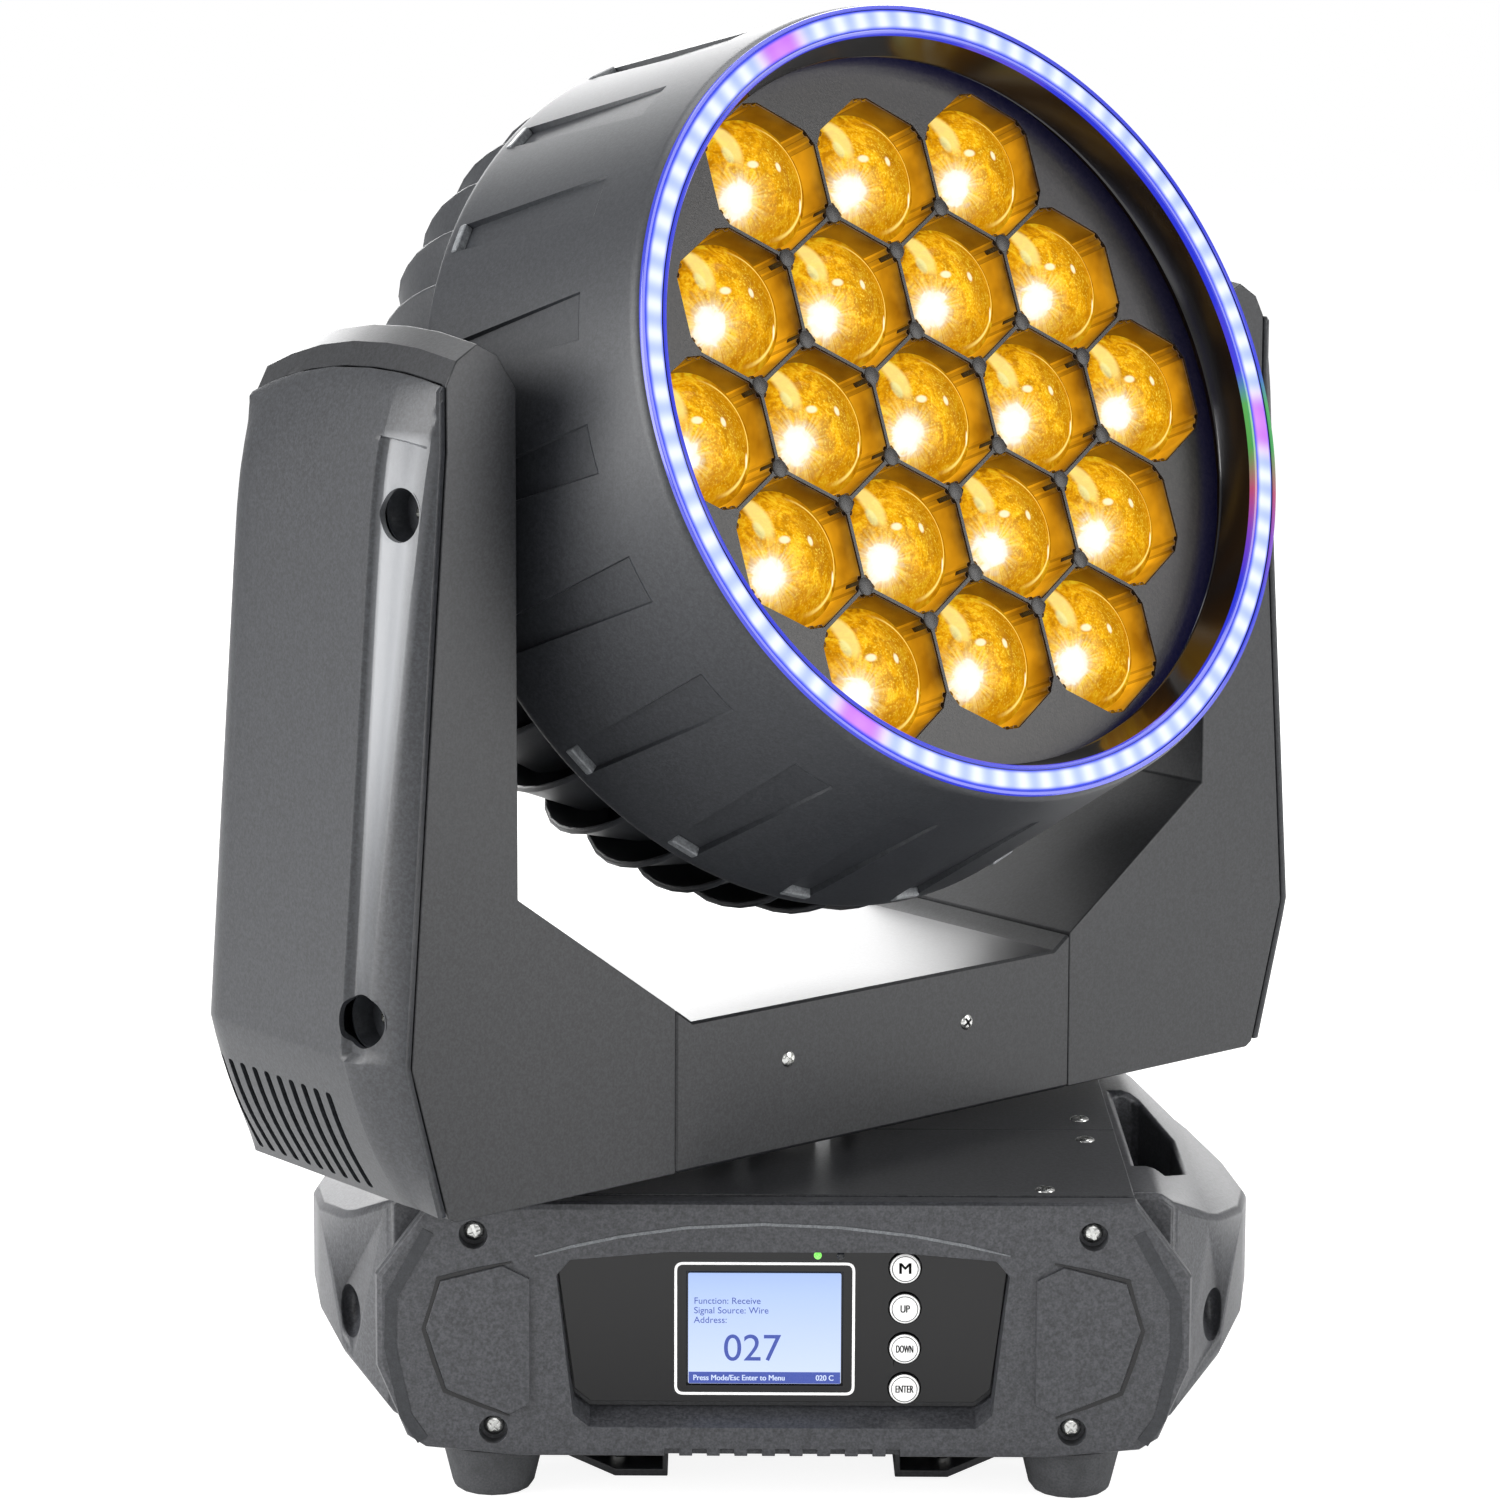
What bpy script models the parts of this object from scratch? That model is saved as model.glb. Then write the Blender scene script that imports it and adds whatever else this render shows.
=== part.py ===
# Moving head wash light: a base with a control panel, a yoke that pans on it,
# and a round head that tilts in the yoke and carries nineteen zooming lenses.
# Run with: blender --background --python part.py
# Metres, +Z up, the control panel faces -Y. The origin is the centre of the
# base's underside, on the pan axis. Beam parts are modelled with +Z along the beam.

import math

import bmesh
import bpy
from mathutils import Matrix, Vector

MM = 0.001

# ---- driving dimensions -------------------------------------------------

# pose of the stored light
PAN_ANGLE = math.radians(39.8)
TILT_ANGLE = math.radians(21.0)

# clearances
GAP = 0.3 * MM            # between pieces that rest on each other
RUNNING_GAP = 0.5 * MM    # round a shaft that turns
SEAT_GAP = 0.4 * MM       # round a piece that drops into its seat

# base
BASE_HEIGHT = 97.0 * MM
BASE_HALF_DEPTH = 104.0 * MM
BASE_TOP_HALF_WIDTH = 130.6 * MM
BASE_WIDEST_HALF = 151.5 * MM
BASE_WIDEST_LOW = 34.0 * MM
BASE_WIDEST_HIGH = 69.0 * MM
TRAY_HALF_WIDTH = 127.0 * MM
TRAY_WALL = 2.5 * MM
TRAY_BOTTOM = 1.0 * MM       # the floor stands this far above its embossed centre pad
PAD_HALF = 30.0 * MM
TOP_PLATE = 1.6 * MM
TOP_SEAM_Y = -11.4 * MM
PANEL_DEPTH = 12.0 * MM
FOOT_HEIGHT = 20.5 * MM
FOOT_TOP_RADIUS = 19.0 * MM
FOOT_BOTTOM_RADIUS = 14.0 * MM
FOOT_X = 109.0 * MM
FOOT_Y = 90.0 * MM

# control panel
RECESS_TOP_HALF = 84.0 * MM
RECESS_BOTTOM_HALF = 78.0 * MM
RECESS_LOW = 8.5 * MM
RECESS_HIGH = 75.0 * MM
RECESS_LEDGE = 9.0 * MM
INSERT_THICKNESS = 3.0 * MM
SCREEN_X = -6.7 * MM
SCREEN_Z = 46.2 * MM
SCREEN_WIDTH = 57.6 * MM
SCREEN_HEIGHT = 43.2 * MM
BUTTON_X = 45.5 * MM
BUTTON_TOP_Z = 70.0 * MM
BUTTON_PITCH = 15.5 * MM
BUTTON_RADIUS = 5.8 * MM
BUTTON_PROUD = 1.8 * MM
BUTTON_TRAVEL = 1.0 * MM

# handles
HANDLE_OUT = 184.0 * MM
HANDLE_HALF_LENGTH = 94.0 * MM
GRIP_GAP = 21.0 * MM
GRIP_HALF_LENGTH = 54.0 * MM

# pan drive
COLLAR_RADIUS = 30.0 * MM
SPINDLE_RADIUS = 20.0 * MM
SPINDLE_BORE = 13.0 * MM
PAN_PULLEY_RADIUS = 42.0 * MM
TILT_PULLEY_RADIUS = 34.0 * MM
MOTOR_PULLEY_RADIUS = 8.0 * MM
PULLEY_WIDTH = 10.0 * MM
BELT_THICKNESS = 1.5 * MM
MOTOR_SIZE = 42.3 * MM
MOTOR_LENGTH = 34.0 * MM
TILT_MOTOR_LENGTH = 22.5 * MM
MOTOR_SHAFT_RADIUS = 2.5 * MM
PAN_MOTOR_X = -76.0 * MM
PAN_PULLEY_Z = BASE_HEIGHT - 31.0 * MM

# head
LENS_PITCH = 53.76 * MM
LENS_RADIUS = (LENS_PITCH - 2.96 * MM) / 2
LENS_DOME = 12.0 * MM
LENS_RIM_DEPTH = 10.5 * MM
WEB = 2.0 * MM
PLATE_FACE = 93.3 * MM
PLATE_DEPTH = 30.0 * MM
PLATE_RADIUS = 2 * LENS_PITCH + LENS_RADIUS + 7.58 * MM
ZOOM_FORWARD = 2.0 * MM
ZOOM_BACK = 22.0 * MM
GUIDE_RADIUS = 2.5 * MM
GUIDE_BOSS = 8.0 * MM
GUIDE_PLACE = (LENS_PITCH / 2, PLATE_RADIUS - 15.5 * MM)
RING_INNER = PLATE_RADIUS + 0.7 * MM
RING_OUTER = RING_INNER + 7.1 * MM
RING_DEPTH = 6.5 * MM
SHROUD_INNER_END = PLATE_RADIUS - 5.1 * MM
SHROUD_END = 99.8 * MM
BARREL_REAR = 5.8 * MM
BARREL_FRONT = 115.5 * MM
BARREL_FRONT_RADIUS = RING_OUTER + 2.9 * MM
BARREL_REAR_RADIUS = BARREL_FRONT_RADIUS + 18.8 * MM
BARREL_WALL = 5.2 * MM
NOTCH_COUNT = 20
NOTCH_REAR_WIDTH = 12.4 * MM
NOTCH_FRONT_WIDTH = 18.5 * MM
NOTCH_DEPTH = 2.0 * MM
HUB_RADIUS = 22.0 * MM
VANE_COUNT = 42
VANE_THICKNESS = 2.2 * MM
VANE_DEPTH = 15.0 * MM
VANE_LEAN = math.radians(58.0)
HEAT_SINK_FACE = 32.0 * MM
FIN_COUNT = 9

# yoke
YOKE_HALF_DEPTH = 58.3 * MM
YOKE_BOTTOM = BASE_HEIGHT + 9.1 * MM
CROSSBAR_DEPTH = 56.6 * MM
CROSSBAR_TOP = YOKE_BOTTOM + CROSSBAR_DEPTH
# the head's front rim swings just over the crossbar
TILT_HEIGHT = CROSSBAR_TOP + math.hypot(BARREL_FRONT_RADIUS, BARREL_FRONT) - 0.367 * MM
SEAM_X = 100.4 * MM
GUSSET_X = 92.3 * MM
GUSSET_TOP = CROSSBAR_TOP + 57.3 * MM
ARM_INNER_X = BARREL_REAR_RADIUS + 3.3 * MM
ARM_TOP = TILT_HEIGHT + 71.4 * MM
ARM_WALL = 3.0 * MM
ARM_EDGE_HIGH = (ARM_INNER_X + 31.2 * MM, ARM_TOP - 40.5 * MM)
ARM_EDGE_LOW = (ARM_INNER_X + 48.2 * MM, YOKE_BOTTOM + 58.9 * MM)
ARM_CORNER = (ARM_INNER_X + 32.7 * MM, YOKE_BOTTOM + 1.9 * MM)
COVER_GAP = 0.8 * MM       # between the arm's frame and its outer cover
COVER_BULGE = 15.0 * MM
COVER_WALL = 2.2 * MM
CHANNEL_DEPTH = 3.2 * MM
SLOT_COUNT = 10
SLOT_PITCH = 7.8 * MM
SLOT_WIDTH = 3.5 * MM

# ---- scene --------------------------------------------------------------

for old in list(bpy.data.objects):
    bpy.data.objects.remove(old, do_unlink=True)

PARTS = bpy.data.collections.new("moving_head_light")
CUTTERS = bpy.data.collections.new("cutters")
bpy.context.scene.collection.children.link(PARTS)
bpy.context.scene.collection.children.link(CUTTERS)


def empty(name, location, rotation, parent=None):
    axis = bpy.data.objects.new(name, None)
    axis.location = location
    axis.rotation_euler = rotation
    axis.parent = parent
    PARTS.objects.link(axis)
    return axis


PAN_AXIS = empty("pan_axis", (0, 0, 0), (0, 0, PAN_ANGLE))
TILT_AXIS = empty("tilt_axis", (0, 0, TILT_HEIGHT), (math.pi / 2 - TILT_ANGLE, 0, 0), PAN_AXIS)


def material(name, colour, roughness, metallic=0.0):
    made = bpy.data.materials.new(name)
    made.use_nodes = True
    shader = made.node_tree.nodes["Principled BSDF"]
    shader.inputs["Base Color"].default_value = (*colour, 1.0)
    shader.inputs["Roughness"].default_value = roughness
    shader.inputs["Metallic"].default_value = metallic
    made.diffuse_color = (*colour, 1.0)
    return made


CHARCOAL = (0.045, 0.047, 0.050)
LOOKS = {
    "abs": (CHARCOAL, 0.62, 0.0),
    "powder_coat": ((0.06, 0.062, 0.066), 0.5, 0.0),
    "rubber": ((0.02, 0.02, 0.02), 0.85, 0.0),
    "steel": ((0.62, 0.62, 0.60), 0.28, 1.0),
    "aluminium": ((0.55, 0.56, 0.58), 0.4, 1.0),
    "gloss": ((0.01, 0.01, 0.012), 0.12, 0.0),
    "screen": ((0.35, 0.52, 0.85), 0.2, 0.0),
    "white": ((0.85, 0.85, 0.83), 0.4, 0.0),
    "diffuser": ((0.72, 0.80, 0.95), 0.35, 0.0),
    "amber": ((0.90, 0.52, 0.06), 0.1, 0.0),
    "motor": ((0.05, 0.05, 0.055), 0.35, 0.6),
}


# ---- modelling helpers --------------------------------------------------

def finish(part, look, parent=None, smooth=False):
    # gives a part its own material and hangs it on its joint's axis
    colour, roughness, metallic = LOOKS[look]
    part.data.materials.clear()
    part.data.materials.append(material(part.name + "_" + look, colour, roughness, metallic))
    part.parent = parent
    if smooth:
        part.data.shade_smooth()
        part.data.set_sharp_from_angle(angle=math.radians(35))
    return part


def from_bmesh(name, mesh_data, collection=PARTS):
    mesh = bpy.data.meshes.new(name)
    mesh_data.to_mesh(mesh)
    mesh_data.free()
    made = bpy.data.objects.new(name, mesh)
    collection.objects.link(made)
    return made


def make_cutter(part, parent=None):
    for holder in list(part.users_collection):
        holder.objects.unlink(part)
    CUTTERS.objects.link(part)
    part.hide_render = True
    part.display_type = "WIRE"
    part.parent = parent
    return part


def add_box(mesh_data, low, high, turn=None):
    # a cube sized from low to high, then turned by a matrix about the origin
    low, high = Vector(low), Vector(high)
    place = Matrix.Translation((low + high) / 2) @ Matrix.Diagonal((*(high - low), 1.0))
    made = bmesh.ops.create_cube(mesh_data, size=1.0, matrix=place)
    if turn is not None:
        bmesh.ops.transform(mesh_data, matrix=turn, verts=made["verts"])
    return made["verts"]


def add_cylinder(mesh_data, radius, start, end, sides=24, end_radius=None):
    start, end = Vector(start), Vector(end)
    axis = end - start
    turn = axis.to_track_quat("Z", "Y").to_matrix().to_4x4()
    made = bmesh.ops.create_cone(
        mesh_data, cap_ends=True, segments=sides, radius1=radius,
        radius2=radius if end_radius is None else end_radius,
        depth=axis.length, matrix=Matrix.Translation((start + end) / 2) @ turn)
    return made["verts"]


def box(name, low, high, collection=PARTS):
    mesh_data = bmesh.new()
    add_box(mesh_data, low, high)
    return from_bmesh(name, mesh_data, collection)


def cylinder(name, radius, start, end, sides=24, end_radius=None, collection=PARTS):
    mesh_data = bmesh.new()
    add_cylinder(mesh_data, radius, start, end, sides, end_radius)
    return from_bmesh(name, mesh_data, collection)


def turned(name, profile, sides, closed=True, collection=PARTS):
    # a profile of (radius, height) points turned about Z; it runs down its outer side
    area = sum(a[0] * b[1] - b[0] * a[1] for a, b in zip(profile, profile[1:] + profile[:1]))
    if area > 0:
        profile = profile[::-1]
    mesh = bpy.data.meshes.new(name)
    last = len(profile) - 1
    edges = [(i, i + 1) for i in range(last)] + ([(last, 0)] if closed else [])
    mesh.from_pydata([(radius, 0, height) for radius, height in profile], edges, [])
    made = bpy.data.objects.new(name, mesh)
    collection.objects.link(made)
    screw = made.modifiers.new("turn", "SCREW")
    screw.axis = "Z"
    screw.steps = sides
    screw.render_steps = sides
    screw.use_merge_vertices = True
    screw.merge_threshold = 0.00001
    screw.use_smooth_shade = False
    return made


def evaluated_mesh(part):
    # the part's mesh with its modifiers applied, welded and closed
    depsgraph = bpy.context.evaluated_depsgraph_get()
    mesh = bpy.data.meshes.new_from_object(part.evaluated_get(depsgraph))
    mesh_data = bmesh.new()
    mesh_data.from_mesh(mesh)
    bmesh.ops.remove_doubles(mesh_data, verts=mesh_data.verts, dist=0.00001)
    mesh_data.to_mesh(mesh)
    mesh_data.free()
    return mesh


def extruded(name, outlines, low, high, plane="XZ", collection=PARTS):
    # flat outlines (the first is the edge, the rest are holes) as a filled 2D curve,
    # given the thickness from low to high along the plane's normal
    curve = bpy.data.curves.new(name, "CURVE")
    curve.dimensions = "2D"
    curve.fill_mode = "BOTH"
    curve.extrude = (high - low) / 2
    for outline in outlines:
        spline = curve.splines.new("POLY")
        spline.points.add(len(outline) - 1)
        for point, (u, v) in zip(spline.points, outline):
            point.co = (u, v, 0, 1)
        spline.use_cyclic_u = True
    flat = bpy.data.objects.new(name + "_outline", curve)
    collection.objects.link(flat)
    bpy.context.view_layer.update()
    mesh = evaluated_mesh(flat)
    bpy.data.objects.remove(flat, do_unlink=True)
    middle = (low + high) / 2
    if plane == "XZ":       # (u, v) are X and Z, thickness along Y
        turn = Matrix(((1, 0, 0, 0), (0, 0, -1, middle), (0, 1, 0, 0), (0, 0, 0, 1)))
    elif plane == "YZ":     # (u, v) are Y and Z, thickness along X
        turn = Matrix(((0, 0, 1, middle), (1, 0, 0, 0), (0, 1, 0, 0), (0, 0, 0, 1)))
    else:                   # (u, v) are X and Y, thickness along Z
        turn = Matrix.Translation((0, 0, middle))
    mesh.transform(turn)
    mesh.name = name
    made = bpy.data.objects.new(name, mesh)
    collection.objects.link(made)
    return made


def drop_slivers(part):
    # a filled outline can hold flat triangles along a straight row of corners; turn them over
    mesh_data = bmesh.new()
    mesh_data.from_mesh(part.data)
    bmesh.ops.beautify_fill(mesh_data, faces=mesh_data.faces, edges=mesh_data.edges, method="AREA")
    mesh_data.to_mesh(part.data)
    mesh_data.free()


def combine(part, other, operation):
    modifier = part.modifiers.new(operation.lower(), "BOOLEAN")
    modifier.operation = operation
    modifier.solver = "EXACT"
    modifier.object = other
    return part


def cut(part, cutter):
    return combine(part, cutter, "DIFFERENCE")


def bevel(part, width, segments=1, angle=40.0):
    modifier = part.modifiers.new("bevel", "BEVEL")
    modifier.width = width
    modifier.segments = segments
    modifier.limit_method = "ANGLE"
    modifier.angle_limit = math.radians(angle)
    modifier.use_clamp_overlap = True
    return part


def arc(centre, radius, start, end, steps):
    # points on an arc, angles in degrees
    points = []
    for i in range(steps + 1):
        angle = math.radians(start + (end - start) * i / steps)
        points.append((centre[0] + radius * math.cos(angle), centre[1] + radius * math.sin(angle)))
    return points


def circle(centre, radius, steps):
    return arc(centre, radius, 0, 360 * (steps - 1) / steps, steps - 1)


def mirrored(outline):
    return [(-u, v) for u, v in reversed(outline)]


def inset(outline, distance):
    # the outline moved inwards by a distance, corner by corner
    area = sum(a[0] * b[1] - b[0] * a[1] for a, b in zip(outline, outline[1:] + outline[:1]))
    sign = 1 if area > 0 else -1
    moved = []
    for before, here, after in zip(outline[-1:] + outline[:-1], outline, outline[1:] + outline[:1]):
        first = (Vector(here) - Vector(before)).normalized()
        second = (Vector(after) - Vector(here)).normalized()
        normal_one = Vector((-first.y, first.x)) * sign
        normal_two = Vector((-second.y, second.x)) * sign
        miter = (normal_one + normal_two) / (1 + normal_one.dot(normal_two))
        moved.append(tuple(Vector(here) + miter * distance))
    return moved


# ---- base ---------------------------------------------------------------

FRONT_Y = -BASE_HALF_DEPTH
PANEL_Y = FRONT_Y - PANEL_DEPTH
TRAY_TOP = BASE_HEIGHT - TOP_PLATE - GAP


def panel_outline():
    # the base seen from the front: flat top, widest at mid-height, narrow foot
    right = [
        (BASE_TOP_HALF_WIDTH, BASE_HEIGHT), (BASE_WIDEST_HALF, BASE_WIDEST_HIGH),
        (BASE_WIDEST_HALF, BASE_WIDEST_LOW), (140.0 * MM, 6.5 * MM), (133.0 * MM, 2.0 * MM),
        (98.0 * MM, -1.2 * MM),
    ]
    return right + mirrored(right)


def recess_outline(grow=0.0):
    # opening round the display: arched top, sides drawn in below
    right = [
        (RECESS_BOTTOM_HALF - 6 * MM, RECESS_LOW), (RECESS_BOTTOM_HALF, RECESS_LOW + 5 * MM),
        (RECESS_TOP_HALF, RECESS_HIGH - 6 * MM), (RECESS_TOP_HALF - 5 * MM, RECESS_HIGH),
        (42.0 * MM, RECESS_HIGH + 3.2 * MM),
    ]
    outline = right + mirrored(right)
    return inset(outline, -grow) if grow else outline


def make_tray():
    # folded steel tray with an open top; the spindle's bearing stands on its floor
    tray = box("base_tray", (-TRAY_HALF_WIDTH, FRONT_Y, TRAY_BOTTOM), (TRAY_HALF_WIDTH, -FRONT_Y, TRAY_TOP))
    pad = box("centre_pad", (-PAD_HALF, -PAD_HALF, 0), (PAD_HALF, PAD_HALF, 2 * TRAY_BOTTOM))
    combine(tray, make_cutter(pad), "UNION")
    inside = box("tray_inside",
                 (-TRAY_HALF_WIDTH + TRAY_WALL, FRONT_Y + TRAY_WALL, TRAY_BOTTOM + TRAY_WALL),
                 (TRAY_HALF_WIDTH - TRAY_WALL, -FRONT_Y - TRAY_WALL, TRAY_TOP + 5 * MM))
    cut(tray, make_cutter(inside))
    bearing = turned("spindle_bearing", [
        (SPINDLE_RADIUS + RUNNING_GAP, 8 * MM), (SPINDLE_RADIUS + RUNNING_GAP, 44 * MM),
        (32 * MM, 44 * MM), (32 * MM, 14 * MM), (38 * MM, 10 * MM), (38 * MM, 2.4 * MM),
        (SPINDLE_BORE, 2.4 * MM), (SPINDLE_BORE, 8 * MM)], 24)
    combine(tray, make_cutter(bearing), "UNION")
    return finish(tray, "powder_coat")


def make_top_plates():
    for name, low, high in (("front_top_plate", FRONT_Y, TOP_SEAM_Y - GAP / 2),
                            ("rear_top_plate", TOP_SEAM_Y + GAP / 2, -FRONT_Y)):
        plate = box(name, (-BASE_TOP_HALF_WIDTH, low, BASE_HEIGHT - TOP_PLATE),
                    (BASE_TOP_HALF_WIDTH, high, BASE_HEIGHT))
        hole = cylinder(name + "_hole", COLLAR_RADIUS + RUNNING_GAP, (0, 0, BASE_HEIGHT - 9 * MM),
                        (0, 0, BASE_HEIGHT + 9 * MM), 40)
        cut(plate, make_cutter(hole))
        finish(plate, "powder_coat")


def panel_cutters(side):
    # deep counterbores for the four panel screws; side is -1 at the front
    mesh_data = bmesh.new()
    face = side * (BASE_HALF_DEPTH + PANEL_DEPTH)
    for x, z in ((114.8 * MM, 84.5 * MM), (107.7 * MM, 9.5 * MM)):
        for turn in (-1, 1):
            add_cylinder(mesh_data, 5.4 * MM, (turn * x, face + side * 5 * MM, z),
                         (turn * x, face - side * 6.5 * MM, z), 16)
    return make_cutter(from_bmesh("panel_screw_holes", mesh_data, CUTTERS))


def pad_outline():
    # raised pad beside the display
    return [(104 * MM, 73 * MM), (127 * MM, 67 * MM), (132.5 * MM, 49 * MM),
            (125 * MM, 25.5 * MM), (102 * MM, 16 * MM), (94 * MM, 20 * MM), (94 * MM, 68 * MM)]


def make_front_panel():
    panel = extruded("front_panel", [panel_outline()], PANEL_Y, FRONT_Y - GAP)
    bevel(panel, 3.5 * MM, 2, 60)
    for name, outline in (("right_pad", pad_outline()), ("left_pad", mirrored(pad_outline()))):
        pad = extruded(name, [outline], PANEL_Y - 1.4 * MM, PANEL_Y + 2 * MM)
        combine(panel, make_cutter(pad), "UNION")
    opening = extruded("display_opening", [recess_outline()], PANEL_Y - 5 * MM, FRONT_Y + 5 * MM)
    for vertex in opening.data.vertices:
        # the sill and the jambs slope in towards the display
        if vertex.co.y > FRONT_Y and vertex.co.z < RECESS_LOW + 8 * MM:
            vertex.co.z += RECESS_LEDGE
    cut(panel, make_cutter(opening))
    cut(panel, panel_cutters(-1))
    comb = bmesh.new()
    for i in range(-4, 5):
        x = i * 10.3 * MM
        add_box(comb, (x - 2.7 * MM, PANEL_Y - 5 * MM, -8 * MM), (x + 2.7 * MM, PANEL_Y + 5 * MM, 2.4 * MM))
    cut(panel, make_cutter(from_bmesh("comb_notches", comb, CUTTERS)))
    return finish(panel, "abs")


def make_rear_panel():
    # power and data sockets in a row, each a round recess
    panel = extruded("rear_panel", [panel_outline()], BASE_HALF_DEPTH + GAP,
                     BASE_HALF_DEPTH + PANEL_DEPTH)
    bevel(panel, 3.5 * MM, 2, 60)
    well = extruded("socket_well", [inset(recess_outline(), 2 * MM)],
                    BASE_HALF_DEPTH + PANEL_DEPTH - 1.6 * MM, BASE_HALF_DEPTH + PANEL_DEPTH + 5 * MM)
    cut(panel, make_cutter(well))
    sockets = bmesh.new()
    for x in SOCKET_XS:
        add_cylinder(sockets, SOCKET_RADIUS, (x, BASE_HALF_DEPTH + PANEL_DEPTH - SOCKET_DEPTH, SOCKET_Z),
                     (x, BASE_HALF_DEPTH + PANEL_DEPTH + 5 * MM, SOCKET_Z), 20)
    cut(panel, make_cutter(from_bmesh("socket_holes", sockets, CUTTERS)))
    cut(panel, panel_cutters(1))
    return finish(panel, "abs")


SOCKET_XS = [-57 * MM, -19 * MM, 19 * MM, 57 * MM]
SOCKET_Z = 44.0 * MM
SOCKET_RADIUS = 12.0 * MM
SOCKET_DEPTH = 10.0 * MM


def make_handle(name, side):
    # a moulded side wall with a bowed grip standing off it
    half = HANDLE_HALF_LENGTH
    inner = TRAY_HALF_WIDTH + GAP
    wall = inner + 8 * MM
    plan = [(inner, -half), (BASE_WIDEST_HALF - 4 * MM, -half), (168 * MM, -62 * MM), (179 * MM, -32 * MM),
            (HANDLE_OUT, 0), (179 * MM, 32 * MM), (168 * MM, 62 * MM),
            (BASE_WIDEST_HALF - 4 * MM, half), (inner, half)]
    gap = [(wall, -GRIP_HALF_LENGTH), (wall + 10 * MM, -GRIP_HALF_LENGTH),
           (wall + GRIP_GAP, -24 * MM), (wall + GRIP_GAP, 24 * MM),
           (wall + 10 * MM, GRIP_HALF_LENGTH), (wall, GRIP_HALF_LENGTH)]
    front = [(inner - 5 * MM, 4 * MM), (140 * MM, 4 * MM), (BASE_WIDEST_HALF + 12 * MM, 19 * MM),
             (HANDLE_OUT + 2 * MM, 33 * MM), (HANDLE_OUT + 2 * MM, 68 * MM), (162 * MM, 80 * MM),
             (BASE_TOP_HALF_WIDTH + 9 * MM, TRAY_TOP + 1 * MM), (inner - 5 * MM, TRAY_TOP + 1 * MM)]
    outlines = [plan, gap, front]
    if side < 0:
        outlines = [mirrored(outline) for outline in outlines]
    handle = extruded(name, [outlines[0]], 4 * MM, TRAY_TOP, "XY")
    slope = extruded(name + "_slope", [outlines[2]], -half - 5 * MM, half + 5 * MM)
    combine(handle, make_cutter(slope), "INTERSECT")
    hole = extruded(name + "_grip", [outlines[1]], -10 * MM, BASE_HEIGHT + 10 * MM, "XY")
    cut(handle, make_cutter(hole))
    bevel(handle, 2.2 * MM, 1, 30)
    return finish(handle, "abs")


def make_display():
    insert_y = FRONT_Y - GAP
    sill = RECESS_LOW + RECESS_LEDGE + SEAT_GAP
    right = [(RECESS_BOTTOM_HALF - 6 * MM - SEAT_GAP, sill), (RECESS_BOTTOM_HALF - SEAT_GAP, sill + 5 * MM),
             (RECESS_TOP_HALF - SEAT_GAP, RECESS_HIGH - 6 * MM),
             (RECESS_TOP_HALF - 5 * MM - SEAT_GAP, RECESS_HIGH - SEAT_GAP),
             (42.0 * MM, RECESS_HIGH + 3.2 * MM - SEAT_GAP)]
    insert = extruded("display_insert", [right + mirrored(right)], insert_y - INSERT_THICKNESS, insert_y)
    window = box("screen_window",
                 (SCREEN_X - SCREEN_WIDTH / 2 - SEAT_GAP, insert_y - INSERT_THICKNESS - MM,
                  SCREEN_Z - SCREEN_HEIGHT / 2 - SEAT_GAP),
                 (SCREEN_X + SCREEN_WIDTH / 2 + SEAT_GAP, insert_y - 1.2 * MM,
                  SCREEN_Z + SCREEN_HEIGHT / 2 + SEAT_GAP))
    cut(insert, make_cutter(window))
    holes = bmesh.new()
    for i in range(4):
        z = BUTTON_TOP_Z - i * BUTTON_PITCH
        add_cylinder(holes, BUTTON_RADIUS + SEAT_GAP, (BUTTON_X, insert_y - INSERT_THICKNESS - MM, z),
                     (BUTTON_X, insert_y - 0.8 * MM, z), 20)
    cut(insert, make_cutter(from_bmesh("button_holes", holes, CUTTERS)))
    finish(insert, "gloss")
    screen = box("lcd_screen",
                 (SCREEN_X - SCREEN_WIDTH / 2, insert_y - INSERT_THICKNESS + 0.2 * MM,
                  SCREEN_Z - SCREEN_HEIGHT / 2),
                 (SCREEN_X + SCREEN_WIDTH / 2, insert_y - 1.2 * MM - GAP, SCREEN_Z + SCREEN_HEIGHT / 2))
    finish(screen, "screen")
    back = insert_y - 0.8 * MM - GAP - BUTTON_TRAVEL
    front = insert_y - INSERT_THICKNESS - BUTTON_PROUD
    for i, name in enumerate(("menu_button", "up_button", "down_button", "enter_button")):
        z = BUTTON_TOP_Z - i * BUTTON_PITCH
        profile = [(0, -front), (BUTTON_RADIUS - 0.8 * MM, -front),
                   (BUTTON_RADIUS, -front - 0.8 * MM), (BUTTON_RADIUS, -back), (0, -back)]
        button = turned(name, profile, 20, closed=False)
        button.location = (BUTTON_X, 0, z)
        button.rotation_euler = (math.pi / 2, 0, 0)
        finish(button, "white")


def make_feet():
    for name, x, y in (("front_left_foot", -1, -1), ("front_right_foot", 1, -1),
                       ("rear_left_foot", -1, 1), ("rear_right_foot", 1, 1)):
        top = TRAY_BOTTOM - GAP
        profile = [(0, top), (FOOT_TOP_RADIUS - 8 * MM, top), (FOOT_TOP_RADIUS - 8 * MM, -1.6 * MM),
                   (FOOT_TOP_RADIUS, -1.6 * MM), (FOOT_TOP_RADIUS, -4 * MM),
                   (FOOT_BOTTOM_RADIUS + 1.5 * MM, -FOOT_HEIGHT + 2 * MM),
                   (FOOT_BOTTOM_RADIUS, -FOOT_HEIGHT), (0, -FOOT_HEIGHT)]
        foot = turned(name, profile, 16, closed=False)
        foot.location = (x * FOOT_X, y * FOOT_Y, 0)
        finish(foot, "rubber")


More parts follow.
